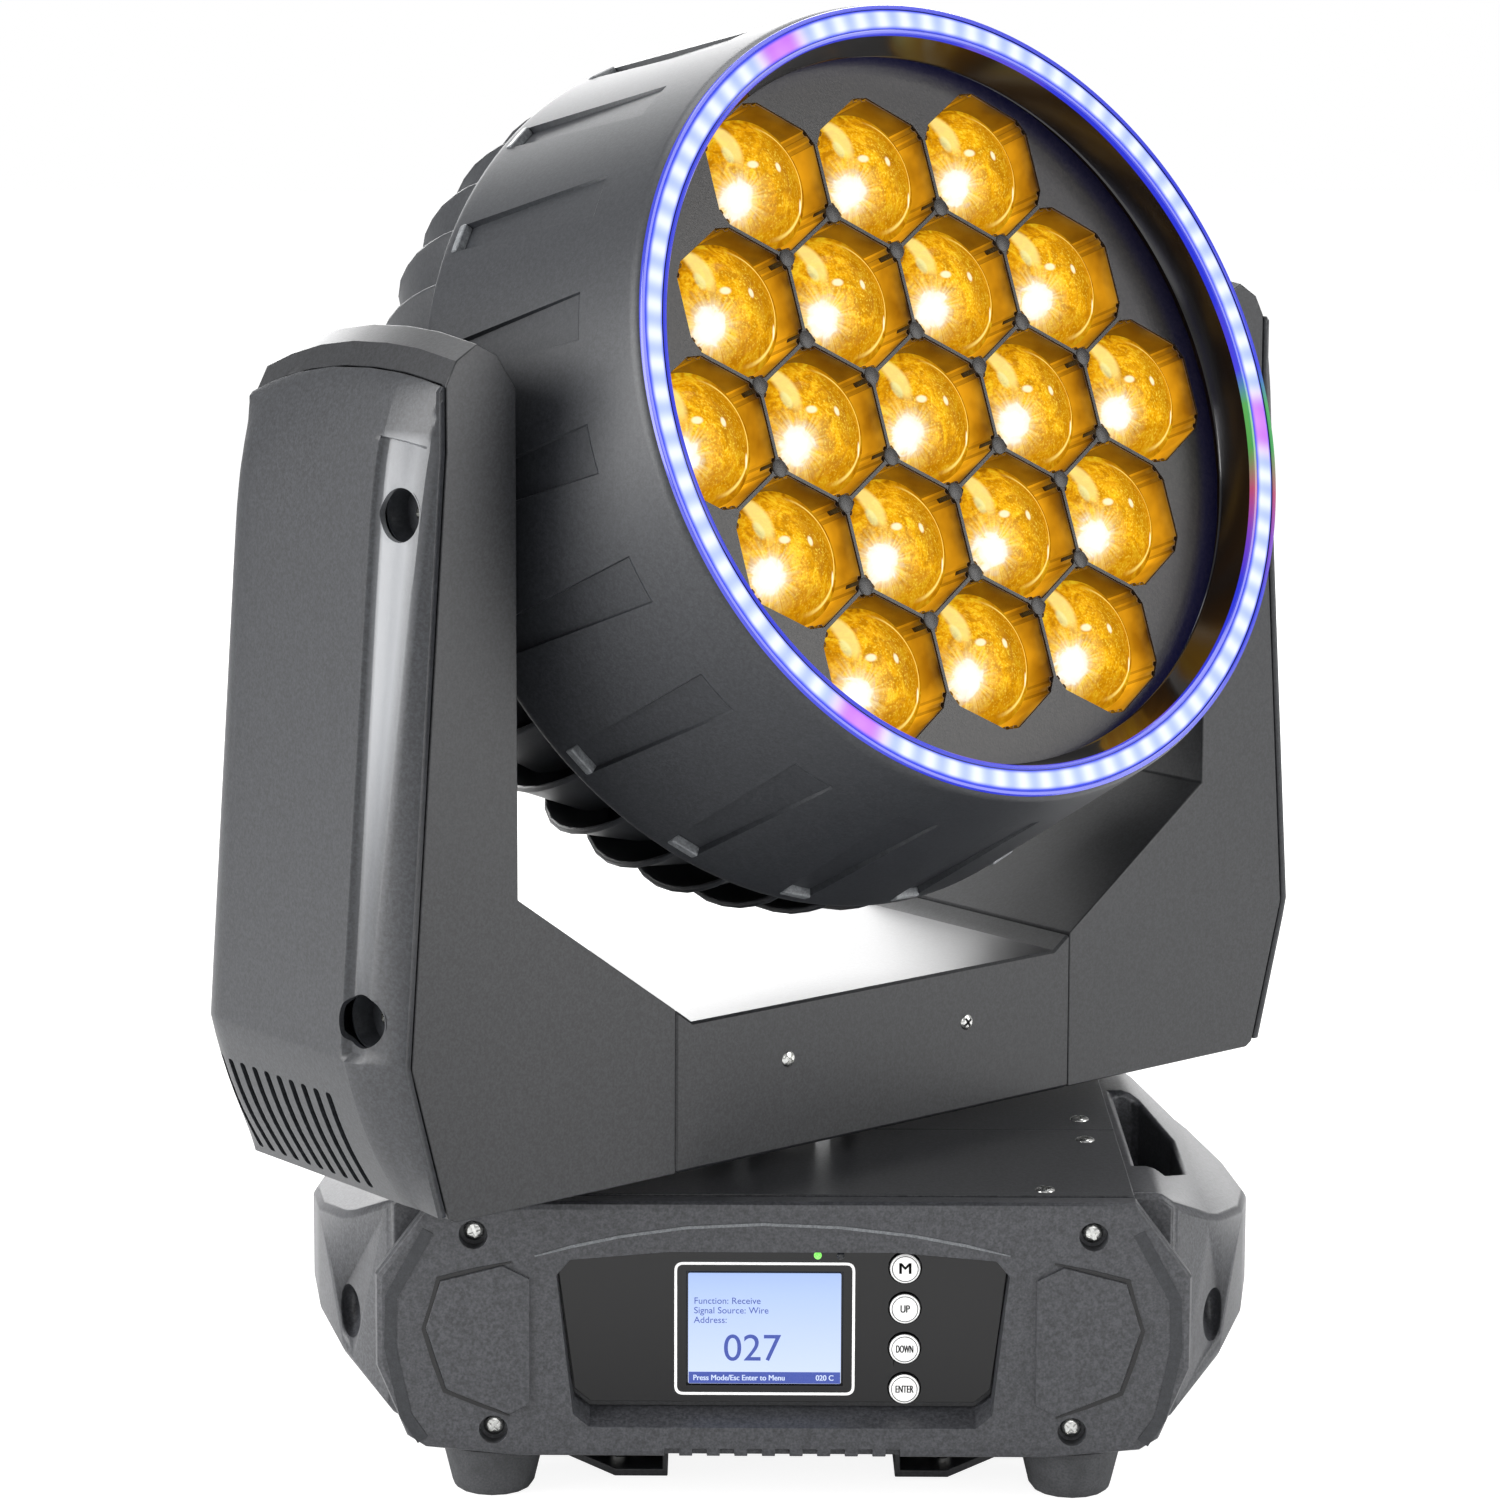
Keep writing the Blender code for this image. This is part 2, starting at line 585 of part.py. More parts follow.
BRACKET_X = 62.0 * MM
BRACKET_HALF = 19.0 * MM
BRACKET_DROP = 12.5 * MM
BRACKET_SHEET = 2.0 * MM
BRACKET_RISE = 5.7 * MM
STUD_Y = 70.0 * MM


def make_clamp_brackets():
    # folded hangers under the base, with a quarter-turn stud at each end
    for name, side in (("left_omega_bracket", -1), ("right_omega_bracket", 1)):
        top = TRAY_BOTTOM - GAP
        outer = [(-BRACKET_HALF, top), (-BRACKET_HALF, -BRACKET_DROP), (1 * MM, -BRACKET_DROP),
                 (BRACKET_HALF, -BRACKET_DROP + BRACKET_RISE), (BRACKET_HALF, top)]
        inner = inset(outer, BRACKET_SHEET)
        section = outer + [(inner[4][0], top)] + inner[3:0:-1] + [(inner[0][0], top)]
        section = [(side * (BRACKET_X + x), z) for x, z in section]
        bracket = extruded(name, [section], -88 * MM, 88 * MM)
        holes = bmesh.new()
        for y in (-STUD_Y, STUD_Y):
            add_cylinder(holes, 4 * MM + SEAT_GAP, (side * BRACKET_X, y, -20 * MM),
                         (side * BRACKET_X, y, -2 * MM), 16)
        cut(bracket, make_cutter(from_bmesh(name + "_holes", holes, CUTTERS)))
        finish(bracket, "powder_coat")
    for name, x, y in (("front_left_stud", -1, -1), ("front_right_stud", 1, -1),
                       ("rear_left_stud", -1, 1), ("rear_right_stud", 1, 1)):
        # quarter-turn stud: a stem through the hanger's floor and a dish above it
        low = -BRACKET_DROP + BRACKET_SHEET
        top = TRAY_BOTTOM - GAP
        profile = [(0, top), (4 * MM, top), (4 * MM, low + 2.6 * MM), (11.6 * MM, low + 5.2 * MM),
                   (12 * MM, low + 4.3 * MM), (4 * MM, low + 1.6 * MM), (4 * MM, low - 3.5 * MM),
                   (0, low - 3.5 * MM)]
        stud = turned(name, profile, 14, closed=False)
        stud.location = (x * BRACKET_X, y * STUD_Y, 0)
        finish(stud, "steel")


def belt_outline(one, other, grow):
    # a belt round two circles (centre, radius), seen along their axes
    (c1, r1), (c2, r2) = one, other
    r1, r2 = r1 + grow, r2 + grow
    across = Vector(c2) - Vector(c1)
    heading = math.degrees(math.atan2(across.y, across.x))
    lean = math.degrees(math.acos((r1 - r2) / across.length))
    large = arc(c1, r1, heading + lean, heading + 360 - lean, 22)
    small = arc(c2, r2, heading - lean, heading + lean, 6)
    return large + small


PAN_WHEEL = ((0.0, 0.0), PAN_PULLEY_RADIUS)
PAN_PINION = ((PAN_MOTOR_X, 0.0), MOTOR_PULLEY_RADIUS)


def make_pan_drive():
    low, high = PAN_PULLEY_Z - PULLEY_WIDTH / 2, PAN_PULLEY_Z + PULLEY_WIDTH / 2
    flange = 1.5 * MM
    spindle = turned("pan_spindle", [
        (SPINDLE_BORE, YOKE_BOTTOM - GAP), (COLLAR_RADIUS, YOKE_BOTTOM - GAP),
        (COLLAR_RADIUS, high + flange), (PAN_PULLEY_RADIUS + 2 * MM, high + flange),
        (PAN_PULLEY_RADIUS + 2 * MM, high), (PAN_PULLEY_RADIUS, high), (PAN_PULLEY_RADIUS, low),
        (PAN_PULLEY_RADIUS + 2 * MM, low), (PAN_PULLEY_RADIUS + 2 * MM, low - flange),
        (SPINDLE_RADIUS, low - flange), (SPINDLE_RADIUS, 8 * MM + GAP), (SPINDLE_BORE, 8 * MM + GAP)], 28)
    finish(spindle, "steel", PAN_AXIS)
    half = MOTOR_SIZE / 2
    motor_top = low - 4 * MM
    motor = box("pan_motor", (PAN_MOTOR_X - half, -half, TRAY_BOTTOM + TRAY_WALL + GAP),
                (PAN_MOTOR_X + half, half, motor_top))
    bevel(motor, 4 * MM, 1, 60)
    hole = cylinder("pan_motor_hole", MOTOR_SHAFT_RADIUS + SEAT_GAP, (PAN_MOTOR_X, 0, motor_top - 12 * MM),
                    (PAN_MOTOR_X, 0, motor_top + 5 * MM), 16)
    cut(motor, make_cutter(hole))
    finish(motor, "motor")
    pinion = turned("pan_drive_pulley", [
        (0, high + 3 * MM), (MOTOR_PULLEY_RADIUS, high + 3 * MM),
        (MOTOR_PULLEY_RADIUS, low - 1 * MM), (MOTOR_SHAFT_RADIUS, low - 1 * MM),
        (MOTOR_SHAFT_RADIUS, motor_top - 11 * MM), (0, motor_top - 11 * MM)], 20, closed=False)
    pinion.location = (PAN_MOTOR_X, 0, 0)
    finish(pinion, "steel")
    belt = extruded("pan_belt", [belt_outline(PAN_WHEEL, PAN_PINION, GAP + BELT_THICKNESS),
                                 belt_outline(PAN_WHEEL, PAN_PINION, GAP)],
                    low + GAP, high - GAP, "XY")
    finish(belt, "rubber")


# ---- yoke ---------------------------------------------------------------

def arm_edge_x(z):
    # where the arm's metal frame ends and its outer cover starts
    (high_x, high_z), (low_x, low_z) = ARM_EDGE_HIGH, ARM_EDGE_LOW
    if z >= low_z:
        return high_x + (low_x - high_x) * (high_z - min(z, high_z)) / (high_z - low_z)
    corner_x, corner_z = ARM_CORNER
    return corner_x + (low_x - corner_x) * (max(z, corner_z) - corner_z) / (low_z - corner_z)


def make_crossbar():
    outline = [(-SEAM_X + GAP / 2, YOKE_BOTTOM), (SEAM_X - GAP / 2, YOKE_BOTTOM),
               (SEAM_X - GAP / 2, gusset_z(SEAM_X)), (GUSSET_X, CROSSBAR_TOP),
               (-GUSSET_X, CROSSBAR_TOP), (-SEAM_X + GAP / 2, gusset_z(SEAM_X))]
    crossbar = extruded("yoke_crossbar", [outline], -YOKE_HALF_DEPTH, YOKE_HALF_DEPTH)
    inside = extruded("crossbar_inside", [inset(outline, 2.5 * MM)],
                      -YOKE_HALF_DEPTH + 2.5 * MM, YOKE_HALF_DEPTH - 2.5 * MM)
    cut(crossbar, make_cutter(inside, PAN_AXIS))
    way = bmesh.new()
    add_cylinder(way, SPINDLE_BORE, (0, 0, YOKE_BOTTOM - 5 * MM), (0, 0, YOKE_BOTTOM + 20 * MM), 24)
    cut(crossbar, make_cutter(from_bmesh("cable_way", way, CUTTERS), PAN_AXIS))
    bevel(crossbar, 1.0 * MM, 1, 60)
    return finish(crossbar, "powder_coat", PAN_AXIS)


def gusset_z(x):
    share = (x - GUSSET_X) / (ARM_INNER_X - GUSSET_X)
    return CROSSBAR_TOP + share * (GUSSET_TOP - CROSSBAR_TOP)


def arm_outline():
    inner = SEAM_X + GAP / 2
    outer = [(arm_edge_x(z) - COVER_GAP, z) for z in (ARM_CORNER[1], ARM_EDGE_LOW[1], ARM_EDGE_HIGH[1])]
    wall = ARM_INNER_X
    return ([(inner, YOKE_BOTTOM), (ARM_CORNER[0] - 4 * MM, YOKE_BOTTOM)] + outer
            + [(outer[-1][0], ARM_TOP - 13.5 * MM), (wall + 26 * MM, ARM_TOP - 5.5 * MM),
               (wall + 17 * MM, ARM_TOP), (wall + 8 * MM, ARM_TOP - 4.5 * MM), (wall, ARM_TOP - 17 * MM),
               (wall, GUSSET_TOP), (inner, gusset_z(inner))])


def dome_drop(y):
    # the arm's top is a dome: it falls off towards the rear and, less, the front
    return 7.9 * MM * abs((y + 19 * MM) / YOKE_HALF_DEPTH) ** 2.2


def domed(name, outline, half_depth):
    # an outline drawn along Y, its top points lowered by the dome
    mesh_data = bmesh.new()
    rings = []
    for share in (-1.0, -0.62, -0.3, 0.05, 0.4, 0.72, 1.0):
        y = share * half_depth
        rings.append([mesh_data.verts.new((x, y, z - (dome_drop(y) if z > ARM_TOP - 20 * MM else 0)))
                      for x, z in outline])
    for one, other in zip(rings, rings[1:]):
        for a in range(len(one)):
            b = (a + 1) % len(one)
            mesh_data.faces.new((one[a], one[b], other[b], other[a]))
    mesh_data.faces.new(rings[0])
    mesh_data.faces.new(rings[-1][::-1])
    bmesh.ops.recalc_face_normals(mesh_data, faces=mesh_data.faces)
    bmesh.ops.triangulate(mesh_data, faces=mesh_data.faces)
    return from_bmesh(name, mesh_data)


def make_arm_frame(name, side):
    outline = arm_outline()
    pocket = []
    for x, z in inset(outline, ARM_WALL):
        opens = x > ARM_INNER_X + 21.7 * MM and z < ARM_TOP - 12 * MM
        pocket.append((x + 30 * MM if opens else x, z))
        if opens and z > ARM_TOP - 20 * MM:
            pocket.append((x, z))
    if side < 0:
        outline, pocket = mirrored(outline), mirrored(pocket)
    frame = domed(name, outline, YOKE_HALF_DEPTH)
    inside = domed(name + "_inside", pocket, YOKE_HALF_DEPTH - ARM_WALL)
    cut(frame, make_cutter(inside, PAN_AXIS))
    hole = cylinder(name + "_bearing", HUB_RADIUS + RUNNING_GAP,
                    (side * (ARM_INNER_X - 9 * MM), 0, TILT_HEIGHT),
                    (side * (ARM_INNER_X + 9 * MM), 0, TILT_HEIGHT), 32, collection=CUTTERS)
    cut(frame, make_cutter(hole, PAN_AXIS))
    return finish(frame, "powder_coat", PAN_AXIS)


def cover_rows():
    # (height, bulge beyond the frame's edge, channel depth) from the top down
    top = ARM_TOP
    low = ARM_EDGE_LOW[1]
    rows = [(top - 14.3 * MM, 0.0, 0.0), (top - 14.3 * MM, 0.13, 0.0), (top - 19 * MM, 0.25, 0.0),
            (top - 24.5 * MM, 0.38, 0.0), (top - 30 * MM, 0.5, 0.0), (top - 33.5 * MM, 0.57, 0.0),
            (top - 36.5 * MM, 0.63, 1.0), (top - 48.6 * MM, 0.8, 1.0), (top - 62 * MM, 0.93, 1.0),
            (top - 80 * MM, 1.0, 1.0), (top - 134 * MM, 1.0, 1.0), (low + 25 * MM, 1.0, 1.0),
            (low + 4 * MM, 1.0, 1.0), (low + 1 * MM, 0.99, 0.0), (low - 15 * MM, 0.96, 0.0),
            (low - 27 * MM, 0.86, 0.0), (low - 44 * MM, 0.5, 0.0),
            (ARM_CORNER[1] + 1 * MM, 0.2, 0.0), (ARM_CORNER[1] + 1 * MM, 0.0, 0.0)]
    return rows


def cover_section(z, bulge, channel):
    # (x, y, z) points across the cover from its rear edge to its front edge
    swell = bulge * COVER_BULGE
    lip = min(swell, 2.6 * MM)
    high, low = ARM_TOP - 36 * MM, ARM_EDGE_LOW[1] + 1 * MM
    slide = min(max((z - low) / (high - low), 0.0), 1.0)
    front_edge_y = (-44 - 12 * slide) * MM
    front_swell = swell * (0.86 - 0.30 * slide)
    half = YOKE_HALF_DEPTH
    floor = swell - channel * CHANNEL_DEPTH
    across = [(half, 0.0), (half, lip), (half - 2.5 * MM, max(0.55 * swell, lip)),
              (half - 11 * MM, swell), (-33.5 * MM, swell), (-37 * MM, floor),
              (front_edge_y, min(front_swell, floor)), (-half, lip), (-half, 0.0)]
    dome = min(max((z - ARM_TOP + 95 * MM) / (55 * MM), 0.0), 1.0)
    heights = [z - dome * dome_drop(y) for y, out in across]
    return [(arm_edge_x(height) + out, y, height) for (y, out), height in zip(across, heights)]


def make_arm_cover(name, side):
    # a lofted shell, open towards the arm, with a tapered channel and air slots
    mesh_data = bmesh.new()
    rows = []
    for z, bulge, channel in cover_rows():
        points = cover_section(z, bulge, channel)
        rows.append([mesh_data.verts.new((side * x, y, height)) for x, y, height in points])
    for upper, lower in zip(rows, rows[1:]):
        for i in range(len(upper) - 1):
            corners = (upper[i], lower[i], lower[i + 1], upper[i + 1])
            mesh_data.faces.new(corners if side > 0 else corners[::-1])
    bmesh.ops.remove_doubles(mesh_data, verts=mesh_data.verts, dist=0.00001)
    for face in [f for f in mesh_data.faces if f.calc_area() < 1e-10]:
        mesh_data.faces.remove(face)
    bmesh.ops.recalc_face_normals(mesh_data, faces=mesh_data.faces)
    outward = sum(face.normal.x * face.calc_area() for face in mesh_data.faces)
    if outward * side < 0:
        bmesh.ops.reverse_faces(mesh_data, faces=mesh_data.faces)
    cover = from_bmesh(name, mesh_data)
    wall = cover.modifiers.new("wall", "SOLIDIFY")
    wall.thickness = COVER_WALL
    wall.offset = -1.0
    wall.use_even_offset = True
    bores = bmesh.new()
    for y, z in COVER_SCREWS:
        x = arm_edge_x(z) + COVER_BULGE
        add_cylinder(bores, 8.4 * MM, (side * (x - 30 * MM), y, z), (side * (x + 9 * MM), y, z), 20)
    cut(cover, make_cutter(from_bmesh(name + "_bores", bores, CUTTERS), PAN_AXIS))
    slots = bmesh.new()
    corner = Vector((ARM_CORNER[0], 0, ARM_CORNER[1]))
    slope = Vector((ARM_EDGE_LOW[0] - corner.x, 0, ARM_EDGE_LOW[1] - corner.z))
    lean = math.atan2(slope.x, slope.z)
    middle = (side * (ARM_EDGE_LOW[0] + 0.5 * MM), 0, ARM_EDGE_LOW[1] - 35 * MM)
    turn = Matrix.Translation(middle) @ Matrix.Rotation(side * lean, 4, "Y")
    for i in range(SLOT_COUNT):
        y = 51 * MM - i * SLOT_PITCH
        add_box(slots, (-3 * MM, y - SLOT_WIDTH / 2, -19 * MM), (20 * MM, y + SLOT_WIDTH / 2, 19 * MM),
                turn if side > 0 else turn @ Matrix.Rotation(math.pi, 4, "Z"))
    cut(cover, make_cutter(from_bmesh(name + "_slots", slots, CUTTERS), PAN_AXIS))
    return finish(cover, "abs", PAN_AXIS)


COVER_SCREWS = [(-45.0 * MM, ARM_TOP - 63.0 * MM), (-41.0 * MM, ARM_EDGE_LOW[1] + 16.0 * MM)]
TILT_MOTOR_Z = TILT_HEIGHT - 104.0 * MM
TILT_WHEEL = ((0.0, TILT_HEIGHT), TILT_PULLEY_RADIUS)
TILT_PINION = ((0.0, TILT_MOTOR_Z), MOTOR_PULLEY_RADIUS)


def make_tilt_drive():
    # motor on the right arm's inner wall, belt and pulleys outboard of it
    half = MOTOR_SIZE / 2
    seat = ARM_INNER_X + ARM_WALL + GAP
    face = seat + TILT_MOTOR_LENGTH
    motor = box("tilt_motor", (seat, -half, TILT_MOTOR_Z - half), (face, half, TILT_MOTOR_Z + half))
    bevel(motor, 4 * MM, 1, 60)
    hole = cylinder("tilt_motor_hole", MOTOR_SHAFT_RADIUS + SEAT_GAP, (face - 12 * MM, 0, TILT_MOTOR_Z),
                    (face + 5 * MM, 0, TILT_MOTOR_Z), 16)
    cut(motor, make_cutter(hole, PAN_AXIS))
    finish(motor, "motor", PAN_AXIS)
    low, high = TILT_BELT_X
    pinion = turned("tilt_drive_pulley", [
        (0, high), (MOTOR_PULLEY_RADIUS, high), (MOTOR_PULLEY_RADIUS, low - 0.5 * MM),
        (MOTOR_SHAFT_RADIUS, low - 0.5 * MM), (MOTOR_SHAFT_RADIUS, face - 11 * MM), (0, face - 11 * MM)],
        20, closed=False)
    pinion.location = (0, 0, TILT_MOTOR_Z)
    pinion.rotation_euler = (0, math.pi / 2, 0)
    finish(pinion, "steel", PAN_AXIS)
    belt = extruded("tilt_belt", [belt_outline(TILT_WHEEL, TILT_PINION, GAP + BELT_THICKNESS),
                                  belt_outline(TILT_WHEEL, TILT_PINION, GAP)],
                    low + GAP, high - GAP, "YZ")
    finish(belt, "rubber", PAN_AXIS)


TILT_BELT_X = (ARM_INNER_X + ARM_WALL + TILT_MOTOR_LENGTH + 2 * MM,
               ARM_INNER_X + ARM_WALL + TILT_MOTOR_LENGTH + 2 * MM + 8 * MM)


# ---- head, with +Z along the beam -------------------------------------------

def barrel_radius(s):
    share = (s - BARREL_REAR) / (BARREL_FRONT - BARREL_REAR)
    return BARREL_REAR_RADIUS + (BARREL_FRONT_RADIUS - BARREL_REAR_RADIUS) * share


def hub_way(name):
    # clearance for the tilt hubs through both sides of the shell
    reach = BARREL_REAR_RADIUS + 30 * MM
    way = cylinder(name, HUB_RADIUS + 2 * MM, (-reach, 0, 0), (reach, 0, 0), 28)
    return make_cutter(way, TILT_AXIS)


def make_barrel():
    seat = RING_OUTER + SEAT_GAP
    shelf = BARREL_FRONT - 10 * MM
    profile = [(seat, BARREL_FRONT - 0.3 * MM), (seat + 1.2 * MM, BARREL_FRONT - 0.6 * MM),
               (barrel_radius(BARREL_FRONT) - 0.9 * MM, BARREL_FRONT - 1.6 * MM),
               (barrel_radius(BARREL_FRONT - 4 * MM), BARREL_FRONT - 4 * MM),
               (barrel_radius(BARREL_REAR + 3 * MM), BARREL_REAR + 3 * MM),
               (barrel_radius(BARREL_REAR) - 1.2 * MM, BARREL_REAR),
               (barrel_radius(BARREL_REAR) - BARREL_WALL - 1 * MM, BARREL_REAR),
               (barrel_radius(BARREL_REAR + 6 * MM) - BARREL_WALL, BARREL_REAR + 6 * MM),
               (seat + 0.6 * MM, shelf), (seat, shelf + 0.5 * MM)]
    barrel = turned("front_barrel", profile, 60)
    notches = bmesh.new()
    rear, front = BARREL_REAR + 8 * MM, BARREL_REAR + 80 * MM
    for i in range(NOTCH_COUNT):
        turn = Matrix.Rotation(2 * math.pi * i / NOTCH_COUNT, 4, "Z")
        verts = add_box(notches, (barrel_radius(rear) - NOTCH_DEPTH, -NOTCH_REAR_WIDTH / 2, rear),
                        (barrel_radius(rear) + 8 * MM, NOTCH_REAR_WIDTH / 2, front))
        for vertex in verts:
            if vertex.co.z > rear + 1 * MM:
                vertex.co.y *= NOTCH_FRONT_WIDTH / NOTCH_REAR_WIDTH
                vertex.co.x += barrel_radius(front) - barrel_radius(rear) + 0.8 * MM
        bmesh.ops.transform(notches, matrix=turn, verts=verts)
    cut(barrel, make_cutter(from_bmesh("barrel_notches", notches, CUTTERS), TILT_AXIS))
    cut(barrel, hub_way("barrel_hub_way"))
    return finish(barrel, "abs", TILT_AXIS)


def make_ring_and_shroud():
    top = BARREL_FRONT - 0.5 * MM
    ring = turned("ring_diffuser", [(RING_INNER, top), (RING_OUTER, top), (RING_OUTER, top - RING_DEPTH),
                                    (RING_INNER, top - RING_DEPTH)], 40)
    finish(ring, "diffuser", TILT_AXIS)
    shelf = top - RING_DEPTH - GAP
    lip = RING_INNER - SEAT_GAP
    shroud = turned("inner_shroud", [
        (lip - 1.2 * MM, top), (lip, top), (lip, shelf), (RING_OUTER, shelf), (RING_OUTER, shelf - 2 * MM),
        (lip - 0.6 * MM, shelf - 2 * MM), (SHROUD_INNER_END + 2 * MM, SHROUD_END),
        (SHROUD_INNER_END, SHROUD_END)], 40)
    finish(shroud, "gloss", TILT_AXIS)


def lens_places():
    # rows of three, four, five, four and three on a hexagonal grid
    places = []
    for row in range(-2, 3):
        count = 5 - abs(row)
        for i in range(count):
            places.append(((i - (count - 1) / 2) * LENS_PITCH, row * LENS_PITCH * math.sqrt(3) / 2))
    return places


def guide_places():
    # three guide rods between the outer lenses, a third of a turn apart
    rod = Vector(GUIDE_PLACE)
    return [tuple(Matrix.Rotation(math.radians(120 * i), 2) @ rod) for i in range(3)]


def cup_outline(centre):
    # a hexagon with its corners cut for the bosses between the cups
    reach = (LENS_PITCH - WEB) / 2
    corner = reach / math.cos(math.pi / 6)
    trim = 3.4 * MM
    points = []
    for i in range(6):
        angle = math.pi / 6 + i * math.pi / 3
        here = Vector((math.cos(angle), math.sin(angle))) * corner
        side = Vector((-math.sin(angle), math.cos(angle)))
        towards = here * (1 - trim / corner)
        for turn in (-1, 1):
            point = towards + side * turn * trim * math.tan(math.pi / 3)
            points.append((centre[0] + point.x, centre[1] + point.y))
    return points


def make_lens_plate():
    # the zoom carriage: a moulded disc of hexagonal cups
    outlines = [circle((0, 0), PLATE_RADIUS, 48)] + [cup_outline(place) for place in lens_places()]
    plate = extruded("lens_plate", outlines, PLATE_FACE - PLATE_DEPTH, PLATE_FACE, "XY")
    drop_slivers(plate)
    bosses, bores = bmesh.new(), bmesh.new()
    rear = PLATE_FACE - PLATE_DEPTH - GUIDE_BOSS
    for x, y in guide_places():
        add_cylinder(bosses, GUIDE_RADIUS + 3 * MM, (x, y, rear), (x, y, rear + GUIDE_BOSS + 2 * MM), 12)
        add_cylinder(bores, GUIDE_RADIUS + SEAT_GAP, (x, y, rear - 5 * MM), (x, y, PLATE_FACE - 3 * MM), 12)
    combine(plate, make_cutter(from_bmesh("guide_bosses", bosses, CUTTERS), TILT_AXIS), "UNION")
    cut(plate, make_cutter(from_bmesh("guide_bores", bores, CUTTERS), TILT_AXIS))
    finish(plate, "abs", TILT_AXIS)


def make_lenses():
    rim = PLATE_FACE - LENS_RIM_DEPTH
    sphere = (LENS_RADIUS ** 2 + LENS_DOME ** 2) / (2 * LENS_DOME)
    half_angle = math.asin((LENS_RADIUS - 0.6 * MM) / sphere)
    dome = []
    for i in range(4):
        angle = half_angle * i / 3
        dome.append((sphere * math.sin(angle), rim + sphere * (math.cos(angle) - math.cos(half_angle))))
    profile = dome + [(LENS_RADIUS, rim), (LENS_RADIUS, rim - 3 * MM), (0, rim - 7 * MM)]
    for number, (x, y) in enumerate(lens_places(), 1):
        lens = turned(f"lens_{number:02d}", profile, 14, closed=False)
        lens.location = (x, y, 0)
        finish(lens, "amber", TILT_AXIS, smooth=False)


def make_head_frame():
    # heat sink and light-source board carrier, with the two tilt hubs
    disc_low = HEAT_SINK_FACE - 6 * MM
    disc_radius = barrel_radius(HEAT_SINK_FACE) - BARREL_WALL - 0.5 * MM
    frame = cylinder("head_frame", disc_radius, (0, 0, disc_low), (0, 0, HEAT_SINK_FACE), 40)
    fins = bmesh.new()
    for i in range(FIN_COUNT):
        x = (i - (FIN_COUNT - 1) / 2) * 22 * MM
        half = math.sqrt((112 * MM) ** 2 - x ** 2)
        add_box(fins, (x - 1.5 * MM, -half, -46 * MM), (x + 1.5 * MM, half, disc_low + 1 * MM))
    combine(frame, make_cutter(from_bmesh("heat_sink_fins", fins, CUTTERS), TILT_AXIS), "UNION")
    rods = bmesh.new()
    tip = PLATE_FACE - 3 * MM - ZOOM_BACK - SEAT_GAP
    for x, y in guide_places():
        add_cylinder(rods, GUIDE_RADIUS, (x, y, HEAT_SINK_FACE - 2 * MM), (x, y, tip), 12)
    combine(frame, make_cutter(from_bmesh("guide_rods", rods, CUTTERS), TILT_AXIS), "UNION")
    for side in (-1, 1):
        near, far = BARREL_REAR_RADIUS - 48 * MM, BARREL_REAR_RADIUS - 38 * MM
        cheek = box("hub_cheek", (min(side * near, side * far), -30 * MM, -28 * MM),
                    (max(side * near, side * far), 30 * MM, disc_low + 1 * MM))
        combine(frame, make_cutter(cheek, TILT_AXIS), "UNION")
        reach = TILT_BELT_X[1] if side > 0 else ARM_INNER_X + ARM_WALL + 6 * MM
        hub = cylinder("hub", HUB_RADIUS, (side * (near + 4 * MM), 0, 0), (side * reach, 0, 0), 20)
        combine(frame, make_cutter(hub, TILT_AXIS), "UNION")
        bore = cylinder("hub_bore", 11 * MM, (side * (near - 4 * MM), 0, 0),
                        (side * (reach + 9 * MM), 0, 0), 12)
        cut(frame, make_cutter(bore, TILT_AXIS))
    wheel = turned("tilt_wheel", [(15 * MM, TILT_BELT_X[1]), (TILT_PULLEY_RADIUS, TILT_BELT_X[1]),
                                  (TILT_PULLEY_RADIUS, TILT_BELT_X[0]), (15 * MM, TILT_BELT_X[0])], 24)
    wheel.rotation_euler = (0, math.pi / 2, 0)
    combine(frame, make_cutter(wheel, TILT_AXIS), "UNION")
    return finish(frame, "aluminium", TILT_AXIS)


VANE_LINE = [(BARREL_REAR_RADIUS - inward * MM, s * MM) for inward, s in
             ((4.2, 3.5), (4.0, -22.0), (12.5, -49.0), (30.0, -67.0), (58.0, -76.5))]


